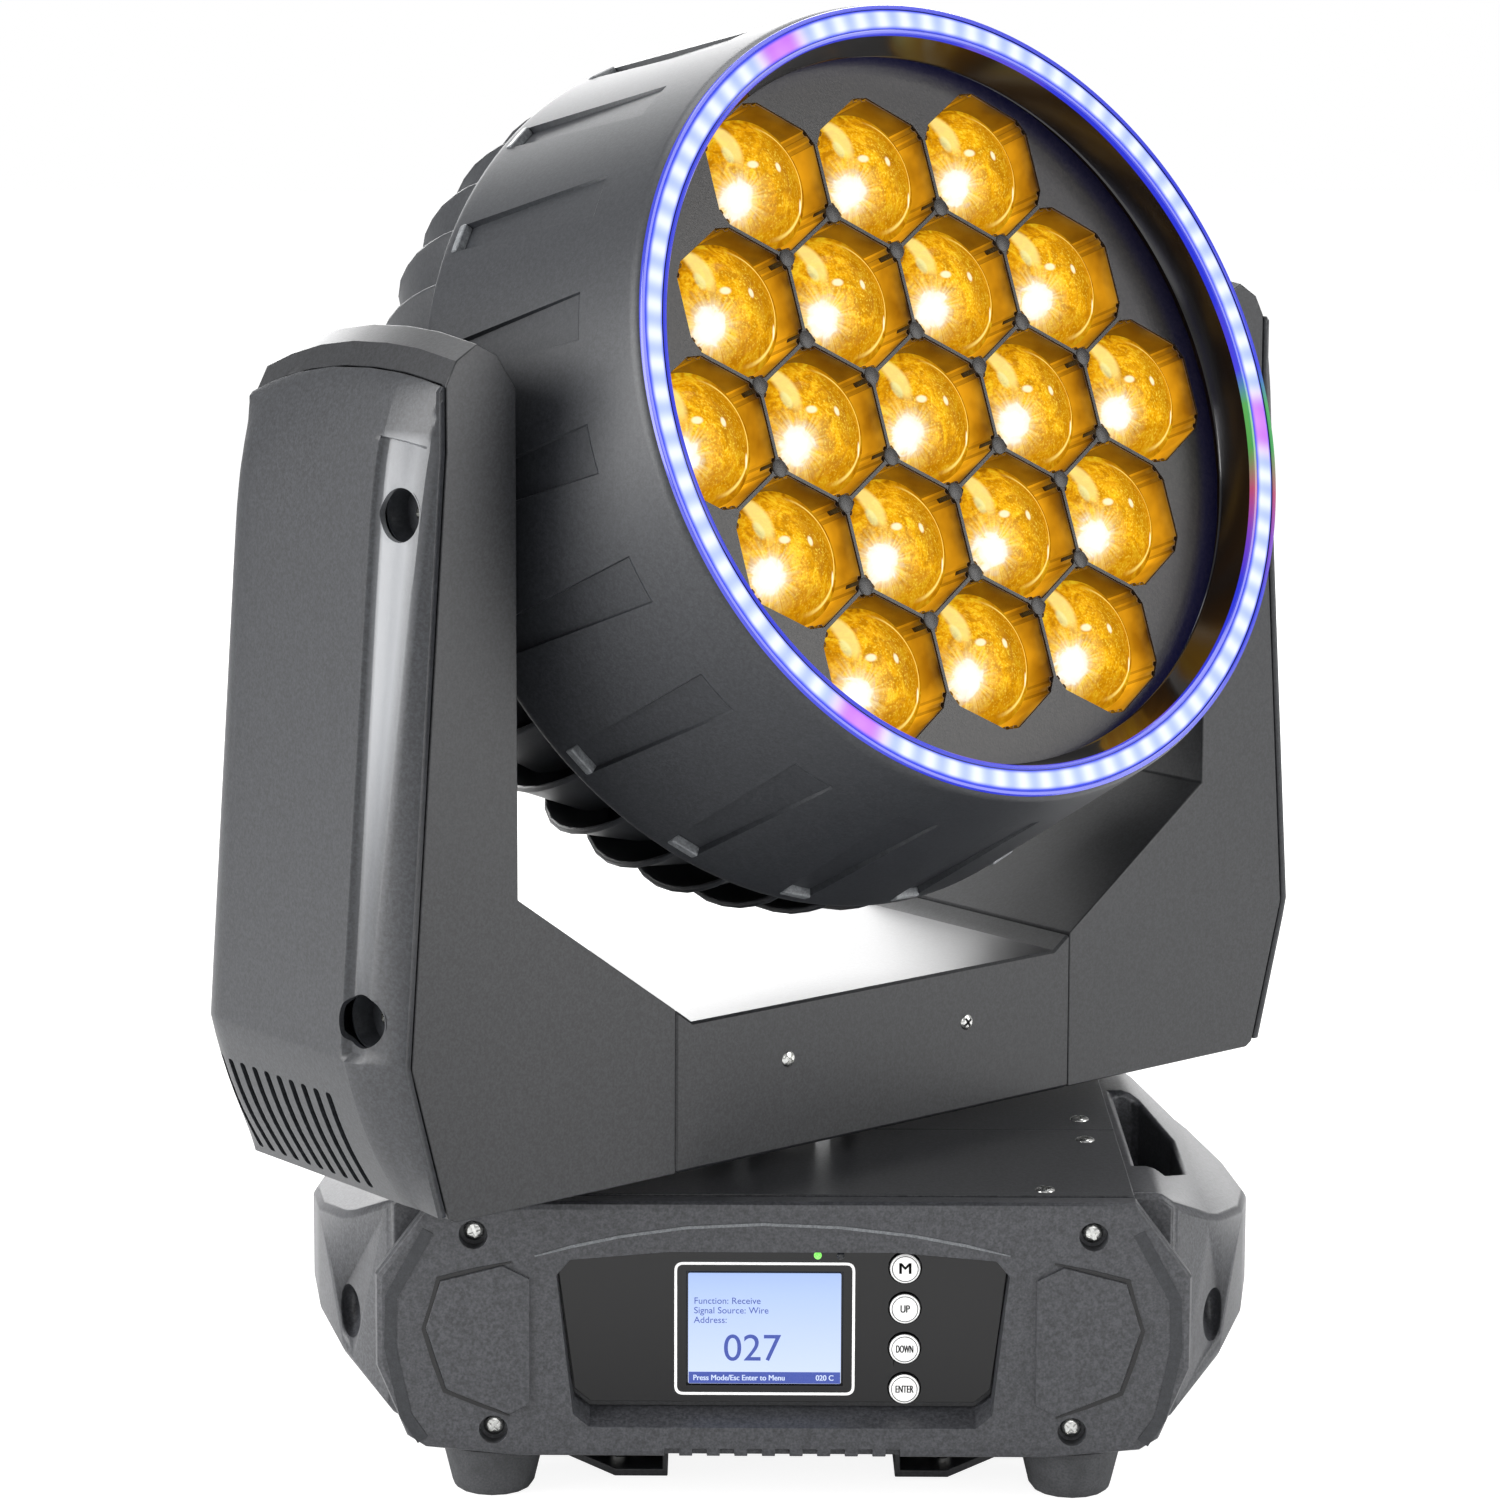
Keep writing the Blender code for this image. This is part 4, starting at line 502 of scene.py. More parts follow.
# zoom lens: clear acrylic with a toothed underside, lit amber from behind.
# "cell" UV: the middle of the lens is 0.5, 0.5 and its rim is 0.5 away
lensAcrylic, tree, shader = startMaterial("litAcrylic", Roughness=0.12, IOR=1.49,
                                          Base_Color=colour("#2a1a00"), Emission_Strength=1.2,
                                          Specular_IOR_Level=0.04)
hotSpot = (0.24, 0.36)      # where the light source shows through, in the same UV
cell = addNode(tree, "ShaderNodeUVMap", uv_map="wrap").outputs["UV"]
place = addNode(tree, "ShaderNodeTexCoord").outputs["Object"]


def cellDistance(centre, stretch=(1.0, 1.0, 1.0)):
    # how far a point of the cell lies from one spot, in lens diameters
    moved = addNode(tree, "ShaderNodeMapping", {"Vector": cell, "Location": (
        -centre[0] * stretch[0], -centre[1] * stretch[1], 0), "Scale": stretch})
    return addNode(tree, "ShaderNodeVectorMath", {0: moved.outputs[0]}, operation="LENGTH").outputs["Value"]


def mixColour(factor, one, other, blend="MIX"):
    node = addNode(tree, "ShaderNodeMix", data_type="RGBA", blend_type=blend)
    for index, value in ((0, factor), (6, one), (7, other)):
        if isinstance(value, bpy.types.NodeSocket):
            tree.links.new(value, node.inputs[index])
        else:
            node.inputs[index].default_value = value
    return node.outputs[2]


def spot(centre, reach, strength, stretch=(1.0, 1.0, 1.0)):
    # a soft patch of the cell, full up to half of its reach
    return addRamp(tree, cellDistance(centre, stretch), greys((reach * 0.55, strength), (reach, 0.0)), "EASE")


rimDistance = cellDistance((0.5, 0.5))
cloud = addNode(tree, "ShaderNodeTexNoise", {"Vector": place, "Scale": 150.0, "Detail": 6.0,
                                             "Distortion": 1.5})
wobble = addNode(tree, "ShaderNodeMath", {0: cloud.outputs["Fac"], 1: 0.12, 2: -0.06},
                 operation="MULTIPLY_ADD")
hotPlain = cellDistance(hotSpot, (1.0, 0.85, 1.0))
hotDistance = addNode(tree, "ShaderNodeMath", {0: hotPlain, 1: wobble.outputs[0]}).outputs[0]
body = addRamp(tree, rimDistance, [
    (0.0, colour("#eeb012")), (0.26, colour("#e39f0a")), (0.40, colour("#c98406")),
    (0.455, colour("#9a6206")), (0.475, colour("#6a4004")), (0.5, colour("#3a2202"))])
shade = addRamp(tree, cloud.outputs["Fac"], [(0.36, colour("#a06402")), (0.5, colour("#e4a008")),
                                             (0.66, colour("#ffd52a"))])
body = mixColour(0.55, body, shade)
# the shaded side, away from the lit spot
body = mixColour(spot((0.86, 0.66), 0.36, 0.6, (1.0, 0.7, 1.0)), body, colour("#9a6005"))
body = mixColour(spot((0.55, 0.06), 0.26, 0.5, (0.6, 1.0, 1.0)), body, colour("#a86c06"))
# golden grit of the toothed underside
grit = addNode(tree, "ShaderNodeTexNoise", {"Vector": place, "Scale": 1100.0, "Detail": 2.0})
gritMask = addRamp(tree, grit.outputs["Fac"], greys((0.56, 0.0), (0.68, 1.0)))
gritWhere = addRamp(tree, rimDistance, greys((0.15, 0.6), (0.42, 0.2), (0.47, 0.0)))
body = mixColour(mixColour(1.0, gritMask, gritWhere, "MULTIPLY"), body, colour("#ffe452"))
darkGrit = addRamp(tree, grit.outputs["Fac"], greys((0.34, 0.5), (0.46, 0.0)))
body = mixColour(darkGrit, body, colour("#a86f08"))
# pale streak at the upper left with a hint of colours in it
body = mixColour(spot((0.30, 0.80), 0.17, 0.7, (2.2, 0.75, 1.0)), body, colour("#ffe68a"))
body = mixColour(spot((0.25, 0.70), 0.07, 0.4, (1.8, 0.8, 1.0)), body, colour("#d4f0b8"))
# pale crescent: the rim of one circle that isn't covered by another set to its left
crescent = addRamp(tree, rimDistance, greys((0.415, 0.0), (0.43, 1.0), (0.44, 1.0), (0.452, 0.0)))
crescentSide = spot((0.9, 0.45), 0.4, 0.9, (0.8, 0.62, 1.0))
body = mixColour(mixColour(1.0, crescent, crescentSide, "MULTIPLY"), body, colour("#ffe27a"))
# three small pale reflections on the dome
for centre, reach, stretch in (((0.40, 0.60), 0.045, (0.8, 1.3, 1.0)), ((0.63, 0.57), 0.04, (1.3, 0.9, 1.0)),
                               ((0.87, 0.30), 0.05, (1.8, 0.8, 1.0))):
    body = mixColour(spot(centre, reach, 0.85, stretch), body, colour("#fff2cc"))
# rays out of the lit spot
fromHot = addNode(tree, "ShaderNodeMapping", {"Vector": cell, "Location": (-hotSpot[0], -hotSpot[1], 0)})
turnShare = addNode(tree, "ShaderNodeTexGradient", {"Vector": fromHot.outputs[0]}, gradient_type="RADIAL")
alongTurn = addNode(tree, "ShaderNodeCombineXYZ", {"X": turnShare.outputs["Fac"]})
rays = addNode(tree, "ShaderNodeTexNoise", {"Vector": alongTurn.outputs[0], "Scale": 45.0, "Detail": 2.0})
rayMask = addRamp(tree, rays.outputs["Fac"], greys((0.40, 0.15), (0.62, 1.0)))
rayWhere = addRamp(tree, hotPlain, greys((0.05, 0.9), (0.14, 0.5), (0.28, 0.0)), "EASE")
body = mixColour(mixColour(1.0, rayMask, rayWhere, "MULTIPLY"), body, colour("#ffec96"))
hotMask = addRamp(tree, hotDistance, greys((0.06, 1.0), (0.095, 0.8), (0.13, 0.2), (0.17, 0.0)), "EASE")
body = mixColour(hotMask, body, colour("#fffdf2"))
tree.links.new(body, shader.inputs["Emission Color"])
ripples = addNode(tree, "ShaderNodeBump", {"Height": grit.outputs["Fac"], "Strength": 0.2,
                                           "Distance": 0.0002})
tree.links.new(ripples.outputs["Normal"], shader.inputs["Normal"])

# cup walls: metallised plastic that the lens lights amber, darker towards the front edge
litCup, tree, shader = startMaterial("litMetallisedCup", Roughness=0.3, Metallic=0.3,
                                     Base_Color=colour("#2c1802"), Emission_Strength=1.35)
wrap = addNode(tree, "ShaderNodeUVMap", uv_map="wrap").outputs["UV"]
depth = addNode(tree, "ShaderNodeSeparateXYZ", {"Vector": wrap})
place = addNode(tree, "ShaderNodeTexCoord").outputs["Object"]
cloud = addNode(tree, "ShaderNodeTexNoise", {"Vector": place, "Scale": 60.0, "Detail": 3.0})
wall = addRamp(tree, depth.outputs["Y"], [(0.0, colour("#0e0802")), (0.05, colour("#5a3606")),
                                          (0.35, colour("#a86c0a")), (0.75, colour("#d8920f")),
                                          (1.0, colour("#f0ac1c"))])
wall = mixColour(0.4, wall, addRamp(tree, cloud.outputs["Fac"], [(0.38, colour("#4a2c04")),
                                                                 (0.68, colour("#dc9a1a"))]))
# walls that face the lit spot are bright, the ones that look away stay brown; right where the head rests
towards = headFrame.to_3x3() @ Vector((-0.75, 0.66, 0))
geometry = addNode(tree, "ShaderNodeNewGeometry")
facingLight = addNode(tree, "ShaderNodeVectorMath", {0: geometry.outputs["Normal"], 1: towards},
                      operation="DOT_PRODUCT")
lightShare = addNode(tree, "ShaderNodeMapRange", {"Value": facingLight.outputs["Value"], "From Min": -0.3,
                                                  "From Max": 0.8, "To Min": 0.78, "To Max": 0.0})
wall = mixColour(lightShare.outputs[0], wall, colour("#2a1602"))
tree.links.new(wall, shader.inputs["Emission Color"])

# lit ring: milky diffuser over a strip of LEDs; u runs round the ring, v across it
ringDiffuser, tree, shader = startMaterial("litMilkyDiffuser", Roughness=0.3, IOR=1.5,
                                           Base_Color=colour("#343c70"), Emission_Strength=1.0,
                                           Specular_IOR_Level=0.2)
wrap = addNode(tree, "ShaderNodeUVMap", uv_map="wrap").outputs["UV"]
around = addNode(tree, "ShaderNodeSeparateXYZ", {"Vector": wrap})
ledCount = 84.0
cycle = addNode(tree, "ShaderNodeMath", {0: around.outputs["X"], 1: ledCount * 2 * math.pi},
                operation="MULTIPLY")
beads = addNode(tree, "ShaderNodeMath", {0: cycle.outputs[0]}, operation="COSINE")
beadShare = addNode(tree, "ShaderNodeMapRange", {"Value": beads.outputs[0], "From Min": -1.0,
                                                 "From Max": 1.0})
beadTint = addRamp(tree, beadShare.outputs[0], [(0.0, colour("#b4c5ff")), (0.5, colour("#d2deff")),
                                                (1.0, colour("#f0f6ff"))])
# three magenta segments, a third of a turn apart
magenta = {"segments": 3.0, "offset": -0.427}
thirds = addNode(tree, "ShaderNodeMath", {0: around.outputs["X"], 1: magenta["segments"],
                                          2: magenta["offset"]}, operation="MULTIPLY_ADD")
patches = addNode(tree, "ShaderNodeMath", {0: thirds.outputs[0]}, operation="FRACT")
patchTint = addRamp(tree, patches.outputs[0], greys((0.445, 0.0), (0.485, 0.9), (0.515, 0.9), (0.555, 0.0)),
                    "EASE")
bandTint = mixColour(patchTint, beadTint, colour("#d05cf0"))
across = addRamp(tree, around.outputs["Y"], greys((0.0, 1.0), (0.054, 0.95), (0.071, 0.0), (0.115, 0.0),
                                                   (0.130, 0.95), (0.15, 1.0)), "EASE")
bandTint = mixColour(across, bandTint, colour("#2b3ce8"))
tree.links.new(bandTint, shader.inputs["Emission Color"])

# clear lip outside the ring: edge-lit polycarbonate, blue with a rainbow towards one side
clearLip, tree, shader = startMaterial("edgeLitPolycarbonate", Roughness=0.15, IOR=1.58,
                                       Base_Color=colour("#20242c"), Emission_Strength=1.0)
wrap = addNode(tree, "ShaderNodeUVMap", uv_map="wrap").outputs["UV"]
around = addNode(tree, "ShaderNodeSeparateXYZ", {"Vector": wrap})
lipTint = addRamp(tree, around.outputs["X"], [
    (0.0, colour("#2c36e0")), (0.02, colour("#2530d8")), (0.90, colour("#2530d8")),
    (0.925, colour("#7a3cc0")), (0.945, colour("#b84870")), (0.965, colour("#37a04a")),
    (0.985, colour("#48a858")), (1.0, colour("#2c36e0"))])
tree.links.new(lipTint, shader.inputs["Emission Color"])
print("materials ready")

# ---- floor, light and camera

stage = {"floorHeight": -20.5 * mm, "floorSize": 14.0}
floorMesh = bmesh.new()
bmesh.ops.create_grid(floorMesh, x_segments=1, y_segments=1, size=stage["floorSize"] / 2)
bmesh.ops.translate(floorMesh, verts=floorMesh.verts, vec=(0, 0, stage["floorHeight"]))
floorPaint, tree, shader = startMaterial("palePaper", Roughness=0.9, Base_Color=(0.86, 0.86, 0.86, 1))
glowWhite = addNode(tree, "ShaderNodeEmission", {"Color": (1, 1, 1, 1), "Strength": 1.45})
path = addNode(tree, "ShaderNodeLightPath")
seen = addNode(tree, "ShaderNodeMath", {0: path.outputs["Is Camera Ray"],
                                        1: path.outputs["Is Transmission Ray"]}, operation="MAXIMUM")
share = addNode(tree, "ShaderNodeMath", {0: seen.outputs[0], 1: 0.62}, operation="MULTIPLY")
mixed = addNode(tree, "ShaderNodeMixShader", {0: share.outputs[0], 1: shader.outputs[0],
                                              2: glowWhite.outputs[0]})
tree.links.new(mixed.outputs[0], tree.nodes["Material Output"].inputs["Surface"])
floor = pieceFromBmesh("floor", floorMesh, floorPaint, flat=True)

world = bpy.data.worlds.new("paleStudio")
bpy.context.scene.world = world
world.use_nodes = True
tree = world.node_tree
tree.nodes["Background"].inputs["Color"].default_value = (1, 1, 1, 1)
tree.nodes["Background"].inputs["Strength"].default_value = 0.5
path = addNode(tree, "ShaderNodeLightPath")
white = addNode(tree, "ShaderNodeBackground", {"Color": (1, 1, 1, 1), "Strength": 1.0})
mixed = addNode(tree, "ShaderNodeMixShader", {0: path.outputs["Is Camera Ray"],
                                              1: tree.nodes["Background"].outputs[0], 2: white.outputs[0]})
tree.links.new(mixed.outputs[0], tree.nodes["World Output"].inputs["Surface"])


def softbox(name, place, target, width, height, power):
    lamp = bpy.data.lights.new(name, "AREA")
    lamp.shape = "RECTANGLE"
    lamp.size = width
    lamp.size_y = height
    lamp.energy = power
    item = bpy.data.objects.new(name, lamp)
    item.location = place
    item.rotation_euler = (Vector(target) - Vector(place)).to_track_quat("-Z", "Y").to_euler()
    bpy.context.scene.collection.objects.link(item)


softbox("leftSoftbox", (-1.6, -0.7, 0.8), (0, 0, 0.25), 1.0, 1.5, 38)
softbox("rightSoftbox", (1.6, -0.5, 0.7), (0, 0, 0.2), 0.8, 1.4, 17)
softbox("topSoftbox", (0.0, 0.4, 1.7), (0, 0, 0.2), 1.4, 1.0, 20)
softbox("backSoftbox", (0.0, 2.2, 0.95), (0, 0, 0.2), 2.6, 1.3, 60)
softbox("frontFill", (0.2, -2.2, 0.9), (0, 0, 0.2), 1.2, 0.8, 6)

view = {"place": (-0.0247, -1.8103, 0.5871), "down": 8.926, "left": 0.797, "lens": 113.63,
        "shiftX": 0.0648, "shiftY": -0.0971}
cameraData = bpy.data.cameras.new("photoCamera")
cameraData.lens = view["lens"]
cameraData.sensor_width = 36.0
cameraData.shift_x = view["shiftX"]
cameraData.shift_y = view["shiftY"]
camera = bpy.data.objects.new("photoCamera", cameraData)
camera.location = view["place"]
camera.rotation_euler = (math.radians(90 - view["down"]), 0, math.radians(view["left"]))
bpy.context.scene.collection.objects.link(camera)
bpy.context.scene.camera = camera
settings = bpy.context.scene.view_settings
settings.view_transform = "Standard"
print("stage ready")

# ---- head: barrel with its notches

barrel = {"rear": 5.8, "front": 115.5, "rearRadius": 170.0, "frontRadius": 151.2, "wall": 5.2,
          "notches": 20, "notchRear": 13.8, "notchFront": 85.8, "widthRear": 12.4, "widthFront": 18.5,
          "depth": 2.1, "rearShare": 1.25, "fade": 0.9, "hubRadius": 24.0, "seat": 148.7,
          "rearLip": [(0.0, 1.2), (0.5, 0.5), (1.4, 0.1), (3.0, 0)],
          "frontLip": [(94, 0), (103, 0), (110, 0), (111.5, 0.05), (113.2, 0.5), (114.3, 1.2), (115.0, 2.1)]}
notchLength = barrel["notchFront"] - barrel["notchRear"]


def barrelRadius(s):
    share = (s - barrel["rear"]) / (barrel["front"] - barrel["rear"])
    return barrel["rearRadius"] + (barrel["frontRadius"] - barrel["rearRadius"]) * share


def notchHalf(s):
    # half a notch's width as an angle; notches widen towards the front
    share = (min(max(s, barrel["notchRear"]), barrel["notchFront"]) - barrel["notchRear"]) / notchLength
    width = barrel["widthRear"] + (barrel["widthFront"] - barrel["widthRear"]) * share
    return width / 2 / barrelRadius(s)


def barrelRows():
    # (s, how far in from the cone, share of the notch's depth)
    rows = [(barrel["rear"] + way, inset, 0) for way, inset in barrel["rearLip"]]
    rows += [(barrel["notchRear"] - 0.3, 0, 0), (barrel["notchRear"], 0, barrel["rearShare"])]
    for i in range(1, 12):
        rows.append((barrel["notchRear"] + notchLength * i / 12, 0,
                     barrel["rearShare"] - barrel["fade"] * i / 12))
    rows += [(barrel["notchFront"] - 1.2, 0, 0.36), (barrel["notchFront"] - 0.2, 0, 0.1),
             (barrel["notchFront"], 0, 0)]
    return rows + [(s, inset, 0) for s, inset in barrel["frontLip"]]


def barrelColumns():
    # (side, share of the notch's half width or None, share of the way to the sector's edge, cut)
    inside = [(k, None, 1) for k in (0.0, 0.3, 0.6, 0.94)] + [(1.0, None, 0)]
    outside = [(None, k, 0) for k in (0.03, 0.2, 0.4, 0.6, 0.8)]
    right = [(1, *c) for c in inside + outside]
    left = [(-1, *c) for c in (inside + outside)[1:]][::-1]
    return left + right + [(1, None, 1.0, 0)]


meshData = bmesh.new()
sector = 2 * math.pi / barrel["notches"]
rings = []
for s, inset, cutHere in barrelRows():
    ring = []
    half = notchHalf(s)
    for k in range(barrel["notches"]):
        for side, inShare, outShare, cutColumn in barrelColumns():
            if inShare is not None:
                bearing = k * sector + side * half * inShare
            else:
                bearing = k * sector + side * (half + (sector / 2 - half) * outShare)
            radius = (barrelRadius(s) - inset - barrel["depth"] * cutHere * cutColumn) * mm
            ring.append(meshData.verts.new((radius * math.cos(bearing), radius * math.sin(bearing), s * mm)))
    rings.append(ring)
# inside: the lit ring's seat, then the wall back to the rear edge
bearings = [math.atan2(vertex.co.y, vertex.co.x) for vertex in rings[0]]
for s, radius in ((115.2, 149.9), (115.2, barrel["seat"]), (105.0, barrel["seat"]),
                  (104.6, barrel["seat"] + 0.4), (11.8, barrelRadius(11.8) - barrel["wall"]),
                  (barrel["rear"], barrelRadius(barrel["rear"]) - barrel["wall"] - 1)):
    rings.append([meshData.verts.new((radius * mm * math.cos(bearing), radius * mm * math.sin(bearing), s * mm))
                  for bearing in bearings])
bridge(meshData, rings + rings[:1])
bmesh.ops.remove_doubles(meshData, verts=meshData.verts, dist=1e-6)
bmesh.ops.recalc_face_normals(meshData, faces=meshData.faces)
barrelPiece = pieceFromBmesh("barrelShell", meshData, fineAbs, angle=24.0)
# one rod across the head clears both tilt hubs
meshData = bmesh.new()
bmesh.ops.create_cone(meshData, cap_ends=True, segments=64, radius1=barrel["hubRadius"] * mm,
                      radius2=barrel["hubRadius"] * mm, depth=0.5,
                      matrix=Matrix.Rotation(math.pi / 2, 4, "Y"))
hubCutter = pieceFromBmesh("hubCutter", meshData, None)
cutAway(barrelPiece, hubCutter, "hubHoles")
barrelPiece.data.transform(headFrame)
settle(barrelPiece, "head", "abs", "front_barrel")

# raised tab at the rear end of each notch; its pale colour is a painted highlight
meshData = bmesh.new()
tab = {"half": 6.1, "rear": 10.6, "front": 14.4, "corner": 0.9, "proud": 0.75, "sunk": -3}
tabRadius = barrelRadius(barrel["notchRear"]) * mm
outline = rounded([(-tab["half"], tab["rear"]), (tab["half"], tab["rear"]),
                   (tab["half"], tab["front"]), (-tab["half"], tab["front"])], tab["corner"])
slab(meshData, outline, tab["sunk"], tab["proud"])
bmesh.ops.transform(meshData, matrix=Matrix(((0, 0, 1, tabRadius), (1, 0, 0, 0), (0, 1, 0, 0), (0, 0, 0, 1))),
                    verts=meshData.verts)
tabs = pieceFromBmesh("notchTabs", meshData, paintedHighlightAbs, angle=40.0)
soften = tabs.modifiers.new("soften", "BEVEL")
soften.width = 0.5 * mm
soften.segments = 2
bakeModifiers(tabs)
runTree(tabs, turnTree, Count=barrel["notches"], Material=paintedHighlightAbs)
tabs.data.transform(headFrame)
settle(tabs, "head", "abs")
print("barrel ready")

# ---- head: rear cover, a ring, a cap and forty-two leaning vanes

rear = {"vanes": 42, "thickness": 2.3, "depth": 29.0, "lean": 60.0, "turn": 0.4,
        "midBead": 1.12, "endBead": 0.8, "web": 0.72, "webIn": 0.14, "beadDepth": 1.9,
        "line": [(165.9, 3.4), (166.4, -5.0), (166.2, -14.0), (165.0, -24.0), (162.2, -34.5), (158.2, -44.5),
                 (152.4, -54.0), (144.5, -62.5), (134.0, -69.5), (122.5, -74.5), (110.5, -77.5)]}
meshData = bmesh.new()
revolve(meshData, [(157, 5.4), (165.0, 5.4), (166, 4.6), (166, 1.2), (165.2, 0.4), (157, 0.4)], 168)
revolve(meshData, [(0, -77.5), (97, -76), (115, -73), (116.3, -74.2), (116.3, -77.6), (115.4, -79),
                   (106, -81.2), (98, -81.6), (96, -83.2), (70, -83.7), (69, -82.7), (66, -82.7),
                   (65, -83.7), (0, -83.8)], 168, closed=False)
rearShell = pieceFromBmesh("rearShell", meshData, fineAbs, headFrame, angle=28.0)
settle(rearShell, "head", "abs", "rear_cover")

meshData = bmesh.new()
lean = math.radians(rear["lean"])
inward = Vector((-math.cos(lean), math.sin(lean), 0))
sideways = Vector((math.sin(lean), math.cos(lean), 0))
rows = []
lastIndex = len(rear["line"]) - 1
for i, (radius, s) in enumerate(rear["line"]):
    # one vane's section: a rounded bead along its outer edge and a thinner web behind it
    edge = Vector(((radius - 0.3) * mm, 0, s * mm))
    bead = rear["thickness"] * mm * (rear["midBead"] if 0 < i < lastIndex else rear["endBead"])
    webFrom = edge + sideways * bead * rear["webIn"]
    webTo = webFrom + sideways * rear["thickness"] * mm * rear["web"]
    beadEnd, webEnd = inward * rear["beadDepth"] * mm, inward * rear["depth"] * mm
    section = [edge + sideways * bead * 0.15, edge + sideways * bead * 0.5 - inward * 0.45 * mm,
               edge + sideways * bead * 0.85, edge + sideways * bead + inward * 0.7 * mm,
               webTo + beadEnd, webTo + webEnd, webFrom + webEnd, webFrom + beadEnd,
               edge + inward * 0.7 * mm]
    rows.append([meshData.verts.new(point) for point in section])
bridge(meshData, rows)
meshData.faces.new(rows[0][::-1])
meshData.faces.new(rows[-1])
bmesh.ops.recalc_face_normals(meshData, faces=meshData.faces)
vanes = pieceFromBmesh("rearVanes", meshData, fineAbs, angle=50.0)
runTree(vanes, turnTree, Count=rear["vanes"], Material=fineAbs)
vanes.data.transform(Matrix.Rotation(rear["turn"] * 2 * math.pi / rear["vanes"], 4, "Z"))
cutAway(vanes, hubCutter, "hubWay")
vanes.data.transform(headFrame)
settle(vanes, "head", "abs")
print("rear cover ready")

# ---- head: lit ring, clear lip and shroud

meshData = bmesh.new()
revolve(meshData, [(140.9, 109.5), (140.9, 114.6), (141.5, 115.25), (143.0, 115.55), (146.6, 115.55),
                   (148.0, 115.25), (148.6, 114.6), (148.6, 109.5)], 360)
ringPiece = pieceFromBmesh("litRing", meshData, ringDiffuser, headFrame)
settle(ringPiece, "head", "diffuser", "ring_diffuser")
meshData = bmesh.new()
revolve(meshData, [(148.75, 112.0), (148.75, 115.3), (149.1, 115.6), (150.1, 115.6), (150.4, 115.1),
                   (150.4, 112.0)], 360)
revolve(meshData, [(139.3, 112.0), (139.1, 114.9), (139.5, 115.4), (140.3, 115.5), (140.8, 115.2),
                   (140.8, 112.0)], 360)
lipPiece = pieceFromBmesh("clearLip", meshData, clearLip, headFrame)
settle(lipPiece, "head", "diffuser")
meshData = bmesh.new()
revolve(meshData, [(141.0, 115.0), (140.6, 115.3), (139.9, 114.8), (135.9, 100.6), (135.4, 99.8),
                   (136.8, 99.6), (141.0, 108.6)], 288)
shroudPiece = pieceFromBmesh("innerShroud", meshData, shroudGloss, headFrame)
settle(shroudPiece, "head", "gloss", "inner_shroud")
print("ring ready")

# ---- lens carriage: plate, cups and lenses

carriage = {"pitch": 53.76, "face": 93.3, "web": 1.3, "trim": 1.9, "lens": 25.4, "rim": 82.8, "dome": 12.0,
            "rowPitch": 53.76 * math.sqrt(3) / 2,
            # along one wall of a cup: (share of the wall, how far a rib stands in)
            "ribs": [(0.0, 0.0), (0.08, 1.0), (0.3, 1.0), (0.38, 0.1), (0.62, 0.1), (0.7, 1.0), (0.92, 1.0),
                     (1.0, 0.0)],
            # down a cup: (UV v, mm below the face)
            "levels": [(0.0, 0.6), (0.0, 1.4), (0.08, 3.0), (0.45, 9.0), (0.8, 14.0), (1.0, 22.0)]}


def lensPlaces():
    places = []
    for row in range(-2, 3):
        inRow = 5 - abs(row)
        for i in range(inRow):
            places.append(((i - (inRow - 1) / 2) * carriage["pitch"], row * carriage["rowPitch"]))
    return places


def cupCorners(back=0.0):
    # a hexagon whose corners are cut for the bosses; back shrinks it
    reach = (carriage["pitch"] - carriage["web"]) / 2 - back
    corner = reach / math.cos(math.pi / 6)
    outline = []
    for i in range(6):
        bearing = math.pi / 6 + i * math.pi / 3
        out = Vector((math.cos(bearing), math.sin(bearing)))
        along = Vector((-out.y, out.x)) * carriage["trim"] * math.tan(math.pi / 3)
        cutAt = out * (corner - carriage["trim"])
        outline += [cutAt - along, cutAt + along]
    return outline


platePiece = cadCopy("lens_plate", "honeycombPlate", plateAbs, 0)
meshData = bmesh.new()
for x, y in lensPlaces():
    slab(meshData, [(x + p.x, y + p.y) for p in cupCorners()], 60, 110)
cellCutter = pieceFromBmesh("cellCutter", meshData, None, headFrame, flat=True)
cutAway(platePiece, cellCutter, "cells")
putAway(cellCutter)
settle(platePiece, "lens_carriage", "abs", "lens_plate")

# cup liner: walls with two stepped ribs at each corner
meshData = bmesh.new()
layer = meshData.loops.layers.uv.new("wrap")
ribbed = []
corners = cupCorners(0.25)
for i in range(0, 12, 2):
    one, other = corners[i], corners[i + 1]
    out = (one + other).normalized()
    ribbed += [one.lerp(other, t) - out * raised for t, raised in carriage["ribs"]]
rows = [[meshData.verts.new((p.x * mm, p.y * mm, (carriage["face"] - below) * mm)) for p in ribbed]
        for _, below in carriage["levels"]]
for r, (one, other) in enumerate(zip(rows, rows[1:])):
    for a in range(len(one)):
        b = (a + 1) % len(one)
        face = meshData.faces.new((one[a], one[b], other[b], other[a]))
        for loop, level in zip(face.loops, (r, r, r + 1, r + 1)):
            loop[layer].uv = (a / len(one), carriage["levels"][level][0])
bmesh.ops.recalc_face_normals(meshData, faces=meshData.faces)
bmesh.ops.reverse_faces(meshData, faces=meshData.faces)
cupPattern = pieceFromBmesh("cupPattern", meshData, litCup, angle=20.0)
skin = cupPattern.modifiers.new("skin", "SOLIDIFY")
skin.thickness = 0.2 * mm
skin.offset = -1.0
bakeModifiers(cupPattern)
upright = (0.0, 0.0, 1.0)
atLenses = [((x, y, 0), upright, 0) for x, y in lensPlaces()]
cups = setOnPoints("lensCups", cupPattern, atLenses, litCup, headFrame)
putAway(cupPattern)
settle(cups, "lens_carriage", "amber")

